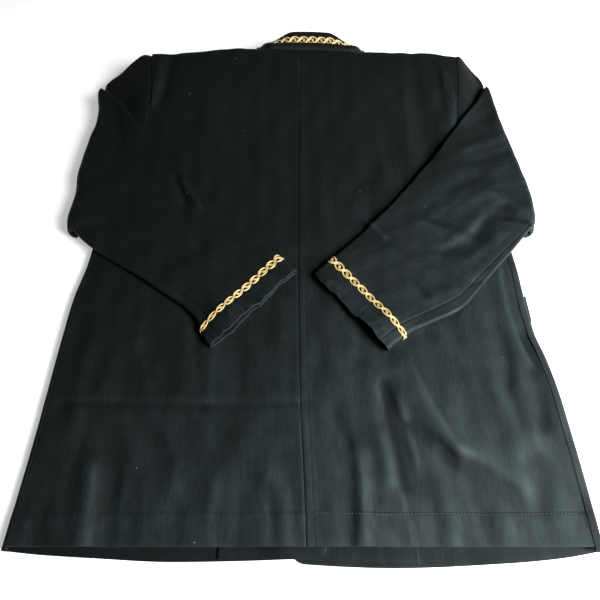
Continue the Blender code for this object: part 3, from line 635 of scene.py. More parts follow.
waveScale = 0.314  # divided by a length in metres, it gives a wave texture's scale
twillLook = {
    "deep": "#010202",  # darkest: where the tone runs low, and painted shade in the creases and towards the shoulders
    "dark": "#050707",
    "worn": "#262f31",  # paler: worn along ridges, seams and hems, and painted light towards the hem on the right
    "paintedLightSlope": 0.2,  # painted light: the twill is drawn lighter towards the hem on the right and darkest at the shoulders, as the window light falls
    "lint": "#a9b0ae",
    "gloss": "#d9ebea",  # washed cotton keeps a dull, slightly blue-green gloss where light rakes it
    "roughness": (0.55, 0.8),
    "specular": 0.27,
    "sheen": 0.004,
    "lineSpacing": 1.7,  # mm. The real diagonals are about 1 mm apart, drawn coarser so that they show
    "threadHeight": 0.09,  # mm
}


# Black cotton twill, dyed and washed: matt, with diagonal ribs and warp streaks, a painted light slope across
# the garment, and painted shade from the mesh's attribute. UVs are in metres.
def twillCotton(name, look):
    finish, tree, shader = newMaterial(name)
    uv = addNode(tree, "UVMap", {"uv_map": "cloth"}, {})
    wearAndPaintedShade = addNode(tree, "Attribute", {"attribute_name": "wearAndPaintedShade"}, {}).outputs["Fac"]
    ribUv = addNode(tree, "Mapping", {}, {"Vector": uv, "Rotation": (0, 0, math.radians(-38))})
    ribs = addNode(tree, "TexWave", {"bands_direction": "X"}, {
        "Vector": ribUv, "Scale": waveScale / (look["lineSpacing"] * mm), "Distortion": 1.6,
        "Detail": 2.0, "Detail Scale": 3.0}).outputs["Fac"]
    grainUv = addNode(tree, "Mapping", {}, {"Vector": uv, "Scale": (1.0, 0.16, 1.0)})
    # Scales are per metre: streaks and broad bands run along the warp
    streaks, broad, cloudy, fibres = (
        addNode(tree, "TexNoise", {}, {"Vector": at, "Scale": scale, "Detail": detail, "Roughness": rough})
        for at, scale, detail, rough in (
            (grainUv, 420.0, 3.0, 0.6), (grainUv, 38.0, 3.0, 0.55),
            (uv, 14.0, 4.0, 0.6), (uv, 1900.0, 2.0, 0.5)))

    tone = 0.0
    for source, share in ((ribs, 0.2), (streaks, 0.34), (broad, 0.4), (cloudy, 0.34)):
        tone = addNode(tree, "Math", {"operation": "MULTIPLY_ADD"}, {0: source, 1: share, 2: tone})
    # Painted light: the tone rises towards the lower right and falls towards the upper left.
    place = addNode(tree, "TexCoord", {}, {}).outputs["Object"]
    axes = addNode(tree, "SeparateXYZ", {}, {"Vector": place})
    slant = addNode(tree, "Math", {"operation": "SUBTRACT"}, {0: axes.outputs["X"], 1: axes.outputs["Y"]})
    paintedLightTone = addNode(tree, "MapRange", {"interpolation_type": "SMOOTHSTEP"}, {
        "Value": slant, "From Min": -0.35, "From Max": 0.55,
        "To Min": -look["paintedLightSlope"], "To Max": look["paintedLightSlope"]})
    for part in (paintedLightTone, wearAndPaintedShade):
        tone = addNode(tree, "Math", {"operation": "ADD"}, {0: tone, 1: part})
    ramp = addNode(tree, "ValToRGB", {}, {"Fac": tone}, (
        (0.3, colour(look["deep"])), (0.98, colour(look["worn"])), (0.62, colour(look["dark"]))))

    specks = addNode(tree, "TexVoronoi", {}, {"Vector": uv, "Scale": 62.0})
    rare = addNode(tree, "SeparateColor", {}, {"Color": specks.outputs["Color"]})
    chosen = addNode(tree, "Math", {"operation": "GREATER_THAN"}, {0: rare, 1: 0.93})
    small = addNode(tree, "MapRange", {}, {
        "Value": specks.outputs["Distance"], "From Min": 0.05, "From Max": 0.02, "To Max": 0.5})
    lint = addNode(tree, "Math", {"operation": "MULTIPLY"}, {0: small, 1: chosen})
    withLint = addNode(tree, "Mix", {"data_type": "RGBA"}, {0: lint, 6: ramp, 7: colour(look["lint"])})

    smooth, rough = look["roughness"]
    roughness = addNode(tree, "MapRange", {}, {
        "Value": tone, "From Min": 0.3, "From Max": 1.0, "To Min": rough, "To Max": smooth})
    threads = addNode(tree, "Math", {"operation": "MULTIPLY_ADD"}, {0: fibres, 1: 0.5, 2: ribs})
    height = addNode(tree, "Math", {"operation": "MULTIPLY_ADD"}, {0: streaks, 1: 1.1, 2: threads})
    texture = addNode(tree, "Bump", {}, {
        "Height": height, "Strength": 0.55, "Distance": look["threadHeight"] * mm})
    setInputs(tree, shader, {
        "Base Color": withLint.outputs[2], "Roughness": roughness, "Normal": texture,
        "Specular IOR Level": look["specular"], "Specular Tint": colour(look["gloss"]),
        "Sheen Weight": look["sheen"], "Sheen Roughness": 0.5})
    return finish


cordLook = {
    # The darkest colour is for the cords' undersides: painted shade, with a little dirt.
    "light": "#f3da97", "dark": "#9c6c2a", "dirtAndShade": "#3a230c", "metallic": 0.35, "roughness": 0.4,
    "twist": 1.3,  # mm, from turn to turn
}


# Metallised gold thread wound round a cotton core: soft metal gloss, with fine slanting turns, and painted
# shade on each cord's underside
def goldCord(look):
    finish, tree, shader = newMaterial("metallisedGoldCord")
    uv = addNode(tree, "UVMap", {"uv_map": "cloth"}, {})
    under = addNode(tree, "Attribute", {"attribute_name": "wearAndPaintedShade"}, {}).outputs["Fac"]
    wound = addNode(tree, "Mapping", {}, {"Vector": uv, "Rotation": (0, 0, math.radians(35))})
    turns = addNode(tree, "TexWave", {"bands_direction": "X"}, {
        "Vector": wound, "Scale": waveScale / (look["twist"] * mm), "Distortion": 0.6}).outputs["Fac"]
    blotch = addNode(tree, "TexNoise", {}, {"Vector": uv, "Scale": 220.0, "Detail": 2.0})
    tone = addNode(tree, "Math", {"operation": "MULTIPLY_ADD"}, {0: turns, 1: 0.3, 2: blotch})
    lower = addNode(tree, "Math", {"operation": "MULTIPLY_ADD"}, {0: under, 1: -1.1, 2: tone})
    ramp = addNode(tree, "ValToRGB", {}, {"Fac": lower}, (
        (0.0, colour(look["dirtAndShade"])), (0.55, colour(look["light"])), (0.22, colour(look["dark"]))))
    texture = addNode(tree, "Bump", {}, {"Height": turns, "Strength": 0.5, "Distance": 0.12 * mm})
    setInputs(tree, shader, {
        "Base Color": ramp, "Normal": texture,
        "Metallic": look["metallic"], "Roughness": look["roughness"]})
    return finish


# Spun polyester sewing thread, twisted: painted highlight on the crown of each turn, painted shade in the
# hollow between
def sewingThread(name, hexValue):
    finish, tree, shader = newMaterial(name)
    uv = addNode(tree, "UVMap", {"uv_map": "cloth"}, {})
    turns = addNode(tree, "TexWave", {"bands_direction": "DIAGONAL"}, {"Vector": uv, "Scale": 700.0})
    crown = colour(hexValue)
    hollow = [0.5 * part for part in crown[:3]] + [1.0]
    ramp = addNode(tree, "ValToRGB", {}, {"Fac": turns.outputs["Fac"]}, ((0.0, hollow), (1.0, crown)))
    setInputs(tree, shader, {"Base Color": ramp, "Roughness": 0.6})
    return finish


blackTwill = twillCotton("blackCottonTwill", twillLook)
# A darker copy of the same twill for the collar, its pale end held down: painted shade.
collarShadedTwill = twillCotton("collarCottonTwillShaded", {
    **twillLook, "deep": "#030405", "dark": "#070809", "worn": "#101314", "specular": 0.3})
gold = goldCord(cordLook)
paleThread = sewingThread("paleSewingThread", "#565f5e")
blackThread = sewingThread("blackSewingThread", "#1c2122")
print("materials ready")


# Back

backDetail = {
    "step": 3.0,
    "width": 265.0,  # of the grid, before its rows are stretched to the cloth
    "flatTo": 668.0,  # from here it turns over the shoulders
    "cornerY": 690.0,
    "seamColumns": [0.0, 0.5, 1.1, 2.0, 3.5, 5.5, 7.0, 8.0, 9.0, 11.0, 13.5],
    "sideColumns": [0.0, 0.6, 1.4, 2.6, 4.5],
    "hemDepth": 31.0,  # turned up and stitched
    "stitchFromCentre": 8.0,  # the centre seam's topstitching, on its right
    "allowance": 12.0,
    "lowest": 4.5,
    "cushion": 0.35,
    "lap": 0.12,  # the halves press into each other at the seam, so no floor shows through
    "creaseGain": 1.5,  # heights of the table's creases, as they read best in this light
}


def seamGroove(distance, depth, half):
    return -depth * bump(distance / half)


# How far each point stands over the mean of its neighbourhood: paler on ridges as wear, darker in hollows as
# painted shade
def ridgeWearAndHollowShade(grid):
    z = grid[..., 2]
    smooth = z.copy()
    for _ in range(6):
        padded = np.pad(smooth, 1, mode="edge")
        smooth = (padded[:-2, 1:-1] + padded[2:, 1:-1] + padded[1:-1, :-2] + padded[1:-1, 2:]) / 4
    return 0.16 * (z - smooth)


# 1 where the folded sleeve lies over the back, with a soft edge
def underSleeve(side, x, y):
    top, low = lines[side]["upper"](np.linspace(0, 1, 40)), lines[side]["lower"](np.linspace(0, 1, 40))
    out = np.abs(x)
    high = np.interp(out, top[::-1, 0], top[::-1, 1], left=-1e3)
    under = np.interp(out, low[::-1, 0], low[::-1, 1], left=1e3)
    return soft((high - y) / 14 + 0.5) * soft((y - under) / 14 + 0.5)


# Creases, seams and puckers of the back, in millimetres over its large form
def backRelief(side, x, y, fromCentre):
    detail = backDetail
    fine = detail["creaseGain"] * relief(backCreases, x, y)
    fine = fine + softWaves(5, x, y, 46, 130, 0.5) + softWaves(9, x, y, 21, 60, 0.14)
    fine = fine * (1 - 0.8 * underSleeve(side, x, y))
    hem = 0.45 * soft((detail["hemDepth"] - y) / 1.5)
    pucker = softWaves(21, x, y, 9, 40, 0.22) * bump((y - 24) / 10)
    stitch = seamGroove(y - detail["hemDepth"] + 1.2, 0.4, 0.9)
    fine = fine + hem + pucker + stitch
    if side > 0:
        fine = fine + 0.4 * soft((detail["allowance"] - fromCentre) / 2)
        fine = fine + seamGroove(fromCentre - detail["stitchFromCentre"], 0.35, 0.8)
        fine = fine + softWaves(31, x, y, 60, 11, 0.2) * bump((fromCentre - 5) / 5)
    return fine + seamGroove(fromCentre, 0.55, 1.1)


# Hollows that end softly over the facing and the front beneath
def keptClear(height):
    over = (height - backDetail["lowest"]) / backDetail["cushion"]
    return backDetail["lowest"] + backDetail["cushion"] * np.logaddexp(0, over)


def backPiece(side):
    detail = backDetail
    total, near, margin = detail["width"], detail["seamColumns"][-1], detail["sideColumns"][-1]
    across = spread(total, detail["step"], detail["seamColumns"], detail["sideColumns"])
    up = spread(detail["flatTo"], detail["step"], [0.0, 0.5, 1.2, 2.4, 4.5])
    up = np.unique(np.concatenate([up, detail["hemDepth"] + np.array([-2.4, -1.2, 0.0, 1.2])]))

    def columns(y):
        start = centreBack(y) - side * detail["lap"]
        length = side * (side * (bodyEdge(side, y) - bodyForm["seamGap"]) - start)
        middle = (across - near) / (total - margin - near)
        stretch = near + (length - margin - near) * np.clip(middle, 0, 1)
        fromCentre = np.where(across >= total - margin, length - (total - across), stretch)
        fromCentre = np.where(across <= near, across, fromCentre)
        return start + side * fromCentre, fromCentre

    rows, uvs = [], []
    for y in up:
        x, fromCentre = columns(y)
        rows.append(stacked(x, y, keptClear(topHeight(x, y) + backRelief(side, x, y, fromCentre))))
        uvs.append(stacked(x, y))
    for share in np.linspace(0, 1, 16):
        endY = farPoint(side * armhole[side](detail["cornerY"]), bodyForm["seamAngle"] * share)[0]
        x, fromCentre = columns(float(endY))
        turn = neckAngle(x) * share
        y, z = farPoint(x, turn)
        fine = backRelief(side, x, y, fromCentre) * (1 - 0.5 * share)
        out = np.radians(turn)
        rows.append(stacked(x, y + fine * np.sin(out), z + fine * np.cos(out)))
        uvs.append(stacked(x, y + 6 * share))
    grid = np.array(rows)
    x, y = grid[..., 0], grid[..., 1]
    # Hollows and the deepest creases are drawn darker: painted shade.
    shade = np.clip(ridgeWearAndHollowShade(grid), -0.16, 0.2) + relief(paintedCreaseShade, x, y) + 0.05 * bump(y / 2.5)
    shade = shade + 0.035 * bump((np.abs(x - centreBack(y)) - 3) / 3) * (side > 0)
    name, wall = f"backPanel_{sides[side]}", bodyForm["wall"]
    return clothShell(name, grid, wall, np.array(uvs) * mm, shade, blackTwill, at=(60, 30))


# Fronts, facings and pocket flaps

frontForm = {
    "edgeX": {-1: 27.6, 1: -8.0},
    "corner": 11.0,
    "hem": {
        -1: {"x": (-290, -240, -187, -117, -8, 30), "y": (-1, -6, -9, -12, -10, -9)},
        1: {"x": (-10, 6, 87, 192, 240, 290), "y": (-12, -14, -17, -13, -9, -1)},
    },
    "step": 4.5,
    "width": 240.0,  # of the grid, before its rows are stretched to the cloth
    "flatTo": 590.0,
    "farY": 693.0,
    "rollSteps": 14,  # round the side, up to the seam on the back
    "rollTo": {"y": 395.0, "over": 37.0},  # above this the sleeve takes over
}
facingForm = {"columns": {-1: (24.6, -76.0), 1: (-5.0, 110.0)}, "wall": 1.1, "inset": 2.0, "topY": 590.0}
flapForm = {"x0": 151.0, "x1": flapEdge, "y0": 238.0, "y1": 275.0, "wall": 1.8, "corner": 5.0}
frontHem = {side: curve(frontForm["hem"][side], "y", "x") for side in sides}


def overlapRise(side, x):
    if side > 0:
        return np.zeros(np.shape(x))
    return (bodyForm["wall"] + facingForm["wall"] + 0.6) * soft((x + 42) / 30)


def flapRise(x, y):
    insideX = soft((np.abs(x) - flapForm["x0"] + 25) / 23)
    above = soft((y - flapForm["y0"] + 10) / 9)
    below = soft((flapForm["y1"] + 10 - y) / 9)
    return (flapForm["wall"] + 0.4) * insideX * above * below


def hemCorner(side, x):
    inside = frontForm["corner"] - np.clip(side * (x - frontForm["edgeX"][side]), 0.0, frontForm["corner"])
    return frontForm["corner"] - np.sqrt(np.maximum(frontForm["corner"] ** 2 - inside**2, 0))


def frontLength(x):
    full = shoulderLine(x) + math.radians(180 - bodyForm["seamAngle"]) * bodyForm["farRadius"] - 0.3
    aside = np.clip(np.abs(x - bodyForm["neckX"]) / bodyForm["neckHalf"], 0.0, 1.0)
    return full - (full - bodyForm["frontNeckY"]) * np.sqrt(1 - aside**2)


def frontSection(side, x, length):
    start = shoulderLine(x)
    turn = np.degrees(np.maximum(length - start, 0.0) / bodyForm["farRadius"])
    y, z = farPoint(x, 180 - turn)
    rise = overlapRise(side, x) + flapRise(x, length)
    flat = length <= start
    return np.where(flat, length, y), np.where(flat, rise, z)


def frontPiece(side):
    form, radius, inboard = frontForm, bodyForm["edgeRadius"], bodyForm["seamInboard"][side]
    edgeX, flatTo = form["edgeX"][side], form["flatTo"]
    shares = spread(form["width"], form["step"], [0.0, 0.6, 1.6, 3.2, 6.0, 9.0, 12.0]) / form["width"]
    steps = np.arange(1, form["rollSteps"] + 1)
    length = math.pi * radius + inboard - radius - bodyForm["seamGap"]
    rows, uvs = [], []
    flat = [(y, 0.0) for y in spread(flatTo, form["step"], [0.0, 0.7, 1.8, 3.6])]
    ends = np.linspace(0, 1, 26)[1:]
    for y, beyond in flat + [(flatTo + (form["farY"] - flatTo) * share, share) for share in ends]:
        roll = float(1 - soft((y - form["rollTo"]["y"]) / form["rollTo"]["over"]))
        low = y < bodyForm["underarmY"]
        reach = bodyHalf[side](y) - radius if low else armhole[side](y) - bodyForm["seamGap"]
        x = edgeX + (side * (reach - (1 - roll) * 0.3) - edgeX) * shares
        if beyond:
            along = flatTo + (frontLength(x) - flatTo) * beyond
        else:
            hem = frontHem[side](x) + hemCorner(side, x)
            along = hem + (flatTo - hem) * (y / flatTo)
        row = stacked(x, *frontSection(side, x, along))
        edge = row[-1]
        top = float(topHeight(edge[0], edge[1])) + float(backRelief(side, edge[0], edge[1], 250.0)) * roll
        place = length * roll * steps / form["rollSteps"]
        turn = np.minimum(place / radius, math.pi)
        out = radius * np.sin(turn) - np.maximum(place - math.pi * radius, 0.0) + (1 - roll) * 0.02 * steps
        wrap = edge + stacked(side * out, 0.0, (top - edge[2]) * (1 - np.cos(turn)) / 2)
        rows.append(np.concatenate([row, wrap]))
        v = np.append(along, np.full(len(steps), along[-1]))
        uvs.append(stacked(np.append(x, x[-1] + side * place), v))
    grid, uv = np.array(rows), np.array(uvs) * mm
    inHem = bump((grid[..., 1] - uv[:1, :, 1] / mm) / 3)
    # Painted shadow: the front is drawn darker near the hem, where it shows beneath the back's hem. The hem's
    # fold is a little paler.
    shade = -0.22 * soft((60 - grid[..., 1]) / 30) + 0.08 * inHem
    name, wall = f"frontPanel_{sides[side]}", bodyForm["wall"]
    return clothShell(name, grid, wall, uv, shade, blackTwill, at=(20, 20), up=-1)


def facingPiece(side):
    x, share = np.meshgrid(np.linspace(*facingForm["columns"][side], 44), np.linspace(0, 1, 90))
    hem = frontHem[side](x) + hemCorner(side, x) + facingForm["inset"]
    y = hem + (facingForm["topY"] - hem) * share
    rise = overlapRise(side, x) + bodyForm["wall"] + 0.3
    # The facing is drawn darker all over: painted shade, as it lies under the back.
    grid, shade = stacked(x, y, rise + facingForm["wall"]), np.full(x.shape, -0.24)
    name, wall = f"facing_{sides[side]}_cloth", facingForm["wall"]
    return clothShell(name, grid, wall, stacked(x, y) * mm, shade, blackTwill, at=(20, 20))


def flapPiece(side):
    corner, wall = flapForm["corner"], flapForm["wall"]
    turn = np.linspace(0, math.pi / 2, 10)
    straight = np.linspace(flapForm["y0"] + corner + 2, flapForm["y1"], 14)
    y = np.concatenate([flapForm["y0"] + corner * (1 - np.cos(turn)), straight])
    inset = np.concatenate([corner * (1 - np.sin(turn)), np.zeros(len(straight))])
    x = side * np.linspace(flapForm["x0"] + inset, flapForm["x1"] - inset, 40, axis=1)
    grid, shade = stacked(x, y[:, None], wall), np.full(x.shape, 0.02)
    name = f"pocketFlap_{sides[side]}"
    return clothShell(name, grid, wall, grid[..., :2] * mm, shade, blackTwill, at=(12, 20))


# Sleeve pieces

sleeveDetail = {
    "creaseGain": 1.5,
    "seamDepth": {-1: 0.15, 1: 0.38},  # the left one is pressed nearly flat
    "allowance": 11.0,  # turned in beside the forearm seam, a little proud
    "cuffHem": 25.0,
    "cuffWave": {-1: 1.7, 1: 1.4},
    "length": 430.0,  # of the forearm, near enough for what lies beside the cuff
    "lastRows": [0, 0.1, 0.2, 0.3, 0.4, 0.5, 0.6, 0.7, 0.78, 0.86, 0.92, 0.96, 0.985, 1.0],
}
forearmRow = 150  # of the grid, well past the fold


# Creases, seam grooves and cuff puckers, along the outer face's normal
def sleeveRelief(side, points, c, layer, station):
    detail = sleeveDetail
    x, y, width = points[..., 0], points[..., 1], sleeveWidth(side, station)
    shown = (1 - layer) * soft((station - 1.35) / 0.4)
    own = detail["creaseGain"] * relief(sleeveCreases, x, y) + softWaves(41 + side, x, y, 55, 55, 0.45)
    back = backDetail["creaseGain"] * relief(backCreases, x, y) + softWaves(5, x, y, 46, 130, 0.5)
    fine = own * shown + back * layer * (1 - soft((station - 0.8) / 0.4)) * soft(station * 6)
    toCuff = (3 - station) * detail["length"]
    allowance = (forearmSeam(station) - c) * width
    fine = fine + seamGroove(allowance, detail["seamDepth"][side], 1.1) * (1 - layer)
    turnedIn = soft(allowance / 1.5) * soft((detail["allowance"] - allowance) / 2)
    fine = fine + 0.35 * detail["seamDepth"][side] * turnedIn * shown
    fine = fine + seamGroove((c - hindSeam(station)) * width, 0.4, 1.1) * layer
    nearCuff = (station > 2) * soft((station - 2.6) / 0.2)
    fine = fine + 0.35 * soft((detail["cuffHem"] - toCuff) / 1.5) * nearCuff
    return fine + softWaves(61 + side, c * width, toCuff, 16, 40, 0.4) * bump(toCuff / 16) * nearCuff


def sleevePiece(side, which):
    stations = np.concatenate([
        np.linspace(0, 1, 34)[:-1], np.linspace(1, 2, 30)[:-1], np.linspace(2, 2.93, 128)[:-1],
        2.93 + 0.07 * np.array(sleeveDetail["lastRows"])])
    if which == "upper":
        face = np.concatenate([[0, 0.004, 0.01, 0.02], np.linspace(0.035, 1, 62)])
        under = np.concatenate([np.linspace(0, 0.96, 20), [0.98, 0.992, 1]])
    else:
        face = np.concatenate([[0, 0.06, 0.14], np.linspace(0.25, 1, 9)])
        under = np.concatenate([np.linspace(0, 0.97, 30), [0.985, 0.994, 1]])
    c, layer = halfRing(side, stations, which, face, 15, under)
    station = np.broadcast_to(stations[:, None], c.shape)
    points = sleevePoints(side, c, layer, station)
    fine = sleeveRelief(side, points, c, layer, station)
    wave = sleeveDetail["cuffWave"][side] * (np.sin(c * 17 + 2 * side) + 0.5 * np.sin(c * 41 + side))
    points = points + outwardNormals(points, forearmRow) * fine[..., None]
    points[..., 1] += wave * bump((3 - station) / 0.02) * (station > 2)
    points[..., 2] = np.maximum(points[..., 2], 0.0)
    around = np.cumsum(np.linalg.norm(np.diff(points, axis=1), axis=2), axis=1)
    around = np.concatenate([np.zeros((len(stations), 1)), around], axis=1)
    uv = stacked(around, lengthAlong(points[:, 10])[:, None]) * mm
    toCuff = (3 - station) * sleeveDetail["length"]
    shade = np.clip(ridgeWearAndHollowShade(points) * (1 - layer), -0.16, 0.2) + 0.04 * bump(toCuff / 2.5)
    if side < 0:
        shade = shade + 0.34 * bump(toCuff / 1.1)  # the left cuff's edge is worn pale
    name, wall = f"{which}Sleeve_{sides[side]}", bodyForm["wall"]
    return clothShell(name, points, wall, uv, shade, blackTwill, at=(forearmRow, 2))


# Collar

collarForm = {
    "gap": 3.0,
    "wall": 1.8,
    "depth": 51.0,
    "section": {
        "along": (0, 8, 16, 23, 29.5, 39.5, 51),
        "out": (0, 4.5, 11, 18, 25, 33, 43),
        "up": (0, 3.5, 5, -1.5, -5, 0.5, 3),
    },
    "drop": {"from": 26.0, "over": 44.0, "depth": 20.0},
    "stand": {"from": 0.32, "over": 0.22},  # it stands up at the back of the neck alone
    "floor": {"from": 0.52, "over": 0.2},  # and lies on the floor at the front
    "floorGap": 2.5,
    "braid": 34.5,  # the braid's middle line
}
collarOut = curve(collarForm["section"], "out", "along")
collarUp = curve(collarForm["section"], "up", "along")


def neckBase(turn):
    share, atBack = np.abs(turn), np.abs(turn) <= 0.5
    half, gap, neckX = bodyForm["neckHalf"], collarForm["gap"], bodyForm["neckX"]
    back = half * np.sin(np.clip(share / 0.5, 0, 1) * math.pi / 2)
    front = gap + (half - gap) * np.cos(np.clip((share - 0.5) / 0.5, 0, 1) * math.pi / 2)
    x = neckX + np.sign(turn) * np.where(atBack, back, front)
    topY, topZ = farPoint(x, neckAngle(x) + math.degrees(0.4 / bodyForm["farRadius"]))
    lowY, lowZ = frontSection(1, x, frontLength(x) + 0.8)
    inset = 1.44 / half * soft((share - 0.5) / 0.1)
    return neckX + (x - neckX) * (1 - inset), np.where(atBack, topY, lowY), np.where(atBack, topZ, lowZ)


def collarPoints(turn, along):
    x, y, z = neckBase(turn)
    drop = collarForm["drop"]
    far, laid = (soft((np.abs(turn) - part["from"]) / part["over"])
                 for part in (collarForm["stand"], collarForm["floor"]))
    stand = 1 - far
    sink = drop["depth"] * soft((np.abs(x - bodyForm["neckX"]) - drop["from"]) / drop["over"])
    sink = sink * (along / collarForm["depth"]) ** 2 * (1 - laid)
    out = collarOut(along) * stand + along * (1 - stand)
    rest = collarForm["floorGap"] * soft(along / 8)
    return stacked(x, y + out, np.maximum(z + collarUp(along) * stand + rest * laid - sink, rest))


def collarPiece():
    depth = collarForm["depth"]
    along = spread(depth, 1.3, [0.0, 0.4, 1.0], [0.0, 0.4, 1.0, 2.0])
    t, a = np.meshgrid(np.linspace(-1, 1, 221), along)
    points = collarPoints(t, a)
    points[..., 2] += 0.35 * np.sin(t * 21 + 1.3) * soft((a - 30) / 18) * (np.abs(t) < 0.45)
    uv = stacked(lengthAlong(points[10])[None, :], a) * mm
    shade = 0.05 * bump((a - depth) / 2) + 0.04 * bump((a - 14) / 3)
    return clothShell("collarCloth", points, collarForm["wall"], uv, shade, collarShadedTwill, at=(15, 110))


# Scroll braid: S-shaped double cords, each hooked into the next, sewn round the cuffs and the collar

braidForm = {
    "repeat": 14.0,
    "reach": 4.85,  # of the cords' middle line, to each side
    "strip": 6.2,  # half width of the cloth that the braid is laid on
    "cord": 0.5,  # radius of each cord
    "apart": 0.5,  # of each of the two cords from their middle line
    "lift": 0.1,
    "cross": 0.5,  # extra height where one scroll passes over the next
    "hookShade": 0.02,  # painted shade: the hooks inside are drawn a little darker
    "points": 64,  # along each scroll
    "sides": 7,
    "fromCuff": {-1: 26.0, 1: 30.0},  # at the sleeve's upper edge
    "slant": {-1: 17.0, 1: 13.0},  # how much farther it lies from the cuff at the lower edge
}
scroll = tableRows("""
u     v
0.08  -0.12
0.05  0.16
-0.10 0.40
-0.28 0.38
-0.41 0.06
-0.43 -0.32
-0.30 -0.74
-0.05 -0.95
0.22  -0.86
0.40  -0.45
0.50  0.00
0.60  0.45
0.78  0.86
1.05  0.95
1.30  0.74
1.43  0.32
1.41  -0.06
1.28  -0.38
1.10  -0.40
0.95  -0.16
0.92  0.12
""")


# Points of a Catmull-Rom curve through the given ones, evenly spaced
def smoothThrough(points, count):
    padded = np.concatenate([[2 * points[0] - points[1]], points, [2 * points[-1] - points[-2]]])
    t = np.linspace(0, 1, 12, endpoint=False)[:, None]
    fine = []
    for p0, p1, p2, p3 in zip(padded, padded[1:], padded[2:], padded[3:]):
        square = (2 * p0 - 5 * p1 + 4 * p2 - p3) * t**2
        cube = (3 * p1 - p0 - 3 * p2 + p3) * t**3
        fine.append(0.5 * (2 * p1 + (p2 - p0) * t + square + cube))
    fine = np.concatenate([*fine, points[-1:]])
    length = lengthAlong(fine)
    return sampled(fine, length, np.linspace(0, length[-1], count))


# Points of a line at the given distances along it
def sampled(grid, length, at):
    return np.stack([np.interp(at, length, column) for column in grid.T], axis=-1)


def unit(vectors):
    return vectors / np.linalg.norm(vectors, axis=1, keepdims=True)


# A closed round cord along a path, with its underside marked for painted shade. up points away from the
# cloth.
def tube(path, up, radius, sidesCount):
    tangent = unit(np.gradient(path, axis=0))
    across = unit(np.cross(tangent, up))
    up = np.cross(across, tangent)
    angles = np.linspace(0, 2 * math.pi, sidesCount, endpoint=False)
    size = np.full((len(path), 1, 1), radius)
    size[[0, -1]] *= 0.55
    flat, high = np.cos(angles)[None, :, None], np.sin(angles)[None, :, None]
    ring = path[:, None] + size * (flat * across[:, None] + high * up[:, None])
    index = np.arange(len(path) * sidesCount).reshape(len(path), sidesCount)
    following = np.roll(index, -1, axis=1)
    quads = np.stack([index[:-1], index[1:], following[1:], following[:-1]], axis=-1).reshape(-1, 4)
    first, last = np.full(sidesCount, index.size), np.full(sidesCount, index.size + 1)
    caps = np.concatenate([np.stack([index[0], following[0], first], axis=-1),
                           np.stack([following[-1], index[-1], last], axis=-1)])
    length = lengthAlong(path)
    uv = stacked(length[:, None], angles * radius).reshape(-1, 2)
    shade = np.broadcast_to((1 - np.sin(angles)) / 2, index.shape).ravel()
    return {
        "points": np.concatenate([ring.reshape(-1, 3), path[:1], path[-1:]]), "quads": quads, "caps": caps,
        "uv": np.concatenate([uv, [[0, 0], [length[-1], 0]]]) * mm, "shade": np.append(shade, [0.5, 0.5]),
    }


def cordsObject(name, tubes, finish):
    starts = np.cumsum([0] + [len(t["points"]) for t in tubes])
    faces = [np.concatenate([t[key] + start for t, start in zip(tubes, starts)])
             for key in ("quads", "caps")]
    points, uvs, shade = (np.concatenate([t[key] for t in tubes]) for key in ("points", "uv", "shade"))
    return newObject(name, points, faces, uvs, shade, finish)


# The braid along a strip of surface points: strip[i, j] with i across and j along
def braidPiece(name, strip, normals, closed, hand=1):
    form = braidForm
    length = lengthAlong(strip[len(strip) // 2])
    repeats = max(int(round(length[-1] / form["repeat"])), 2)
    pitch = length[-1] / repeats
    shape = np.array([[row["u"] * pitch, hand * row["v"] * form["reach"]] for row in scroll])
    path = smoothThrough(shape, form["points"])
    side = unit(np.gradient(path, axis=0)[:, ::-1] * np.array([-1, 1]))
    across = np.linspace(-form["strip"], form["strip"], len(strip))

    def onSurface(u, v, rise):
        u = np.mod(u, length[-1]) if closed else np.clip(u, 0, length[-1])
        j = np.clip(np.searchsorted(length, u) - 1, 0, len(length) - 2)
        tj = ((u - length[j]) / (length[j + 1] - length[j]))[:, None]
        fi = np.clip((v - across[0]) / (across[1] - across[0]), 0, len(across) - 1.001)
        i = fi.astype(int)
        ti = (fi - i)[:, None]

        def blend(grid):
            low = grid[i, j] * (1 - tj) + grid[i, j + 1] * tj
            high = grid[i + 1, j] * (1 - tj) + grid[i + 1, j + 1] * tj
            return low * (1 - ti) + high * ti

        normal = unit(blend(normals))
        return blend(strip) + rise[:, None] * normal, normal

    chance = np.random.default_rng(7)
    share = np.linspace(0, 1, len(path))
    rise = form["lift"] + form["cord"] + form["cross"] * bump((share - 0.5) / 0.1)
    hook = form["hookShade"] * np.repeat(soft(np.abs(share - 0.5) / 0.1 - 3.2), form["sides"])
    tubes = []
    ends = 0 if closed else 2
    for k in range(ends, repeats - ends):
        wobble = 1 + np.clip(0.03 * chance.normal(), -0.05, 0.04)
        for strand in (-form["apart"], form["apart"]):
            u = path[:, 0] + strand * side[:, 0] + (k + 0.5) * pitch
            v = (path[:, 1] + strand * side[:, 1]) * wobble
            cord = tube(*onSurface(u, v, rise), form["cord"], form["sides"])
            cord["shade"][:-2] += hook
            tubes.append(cord)
    return cordsObject(name, tubes, gold)


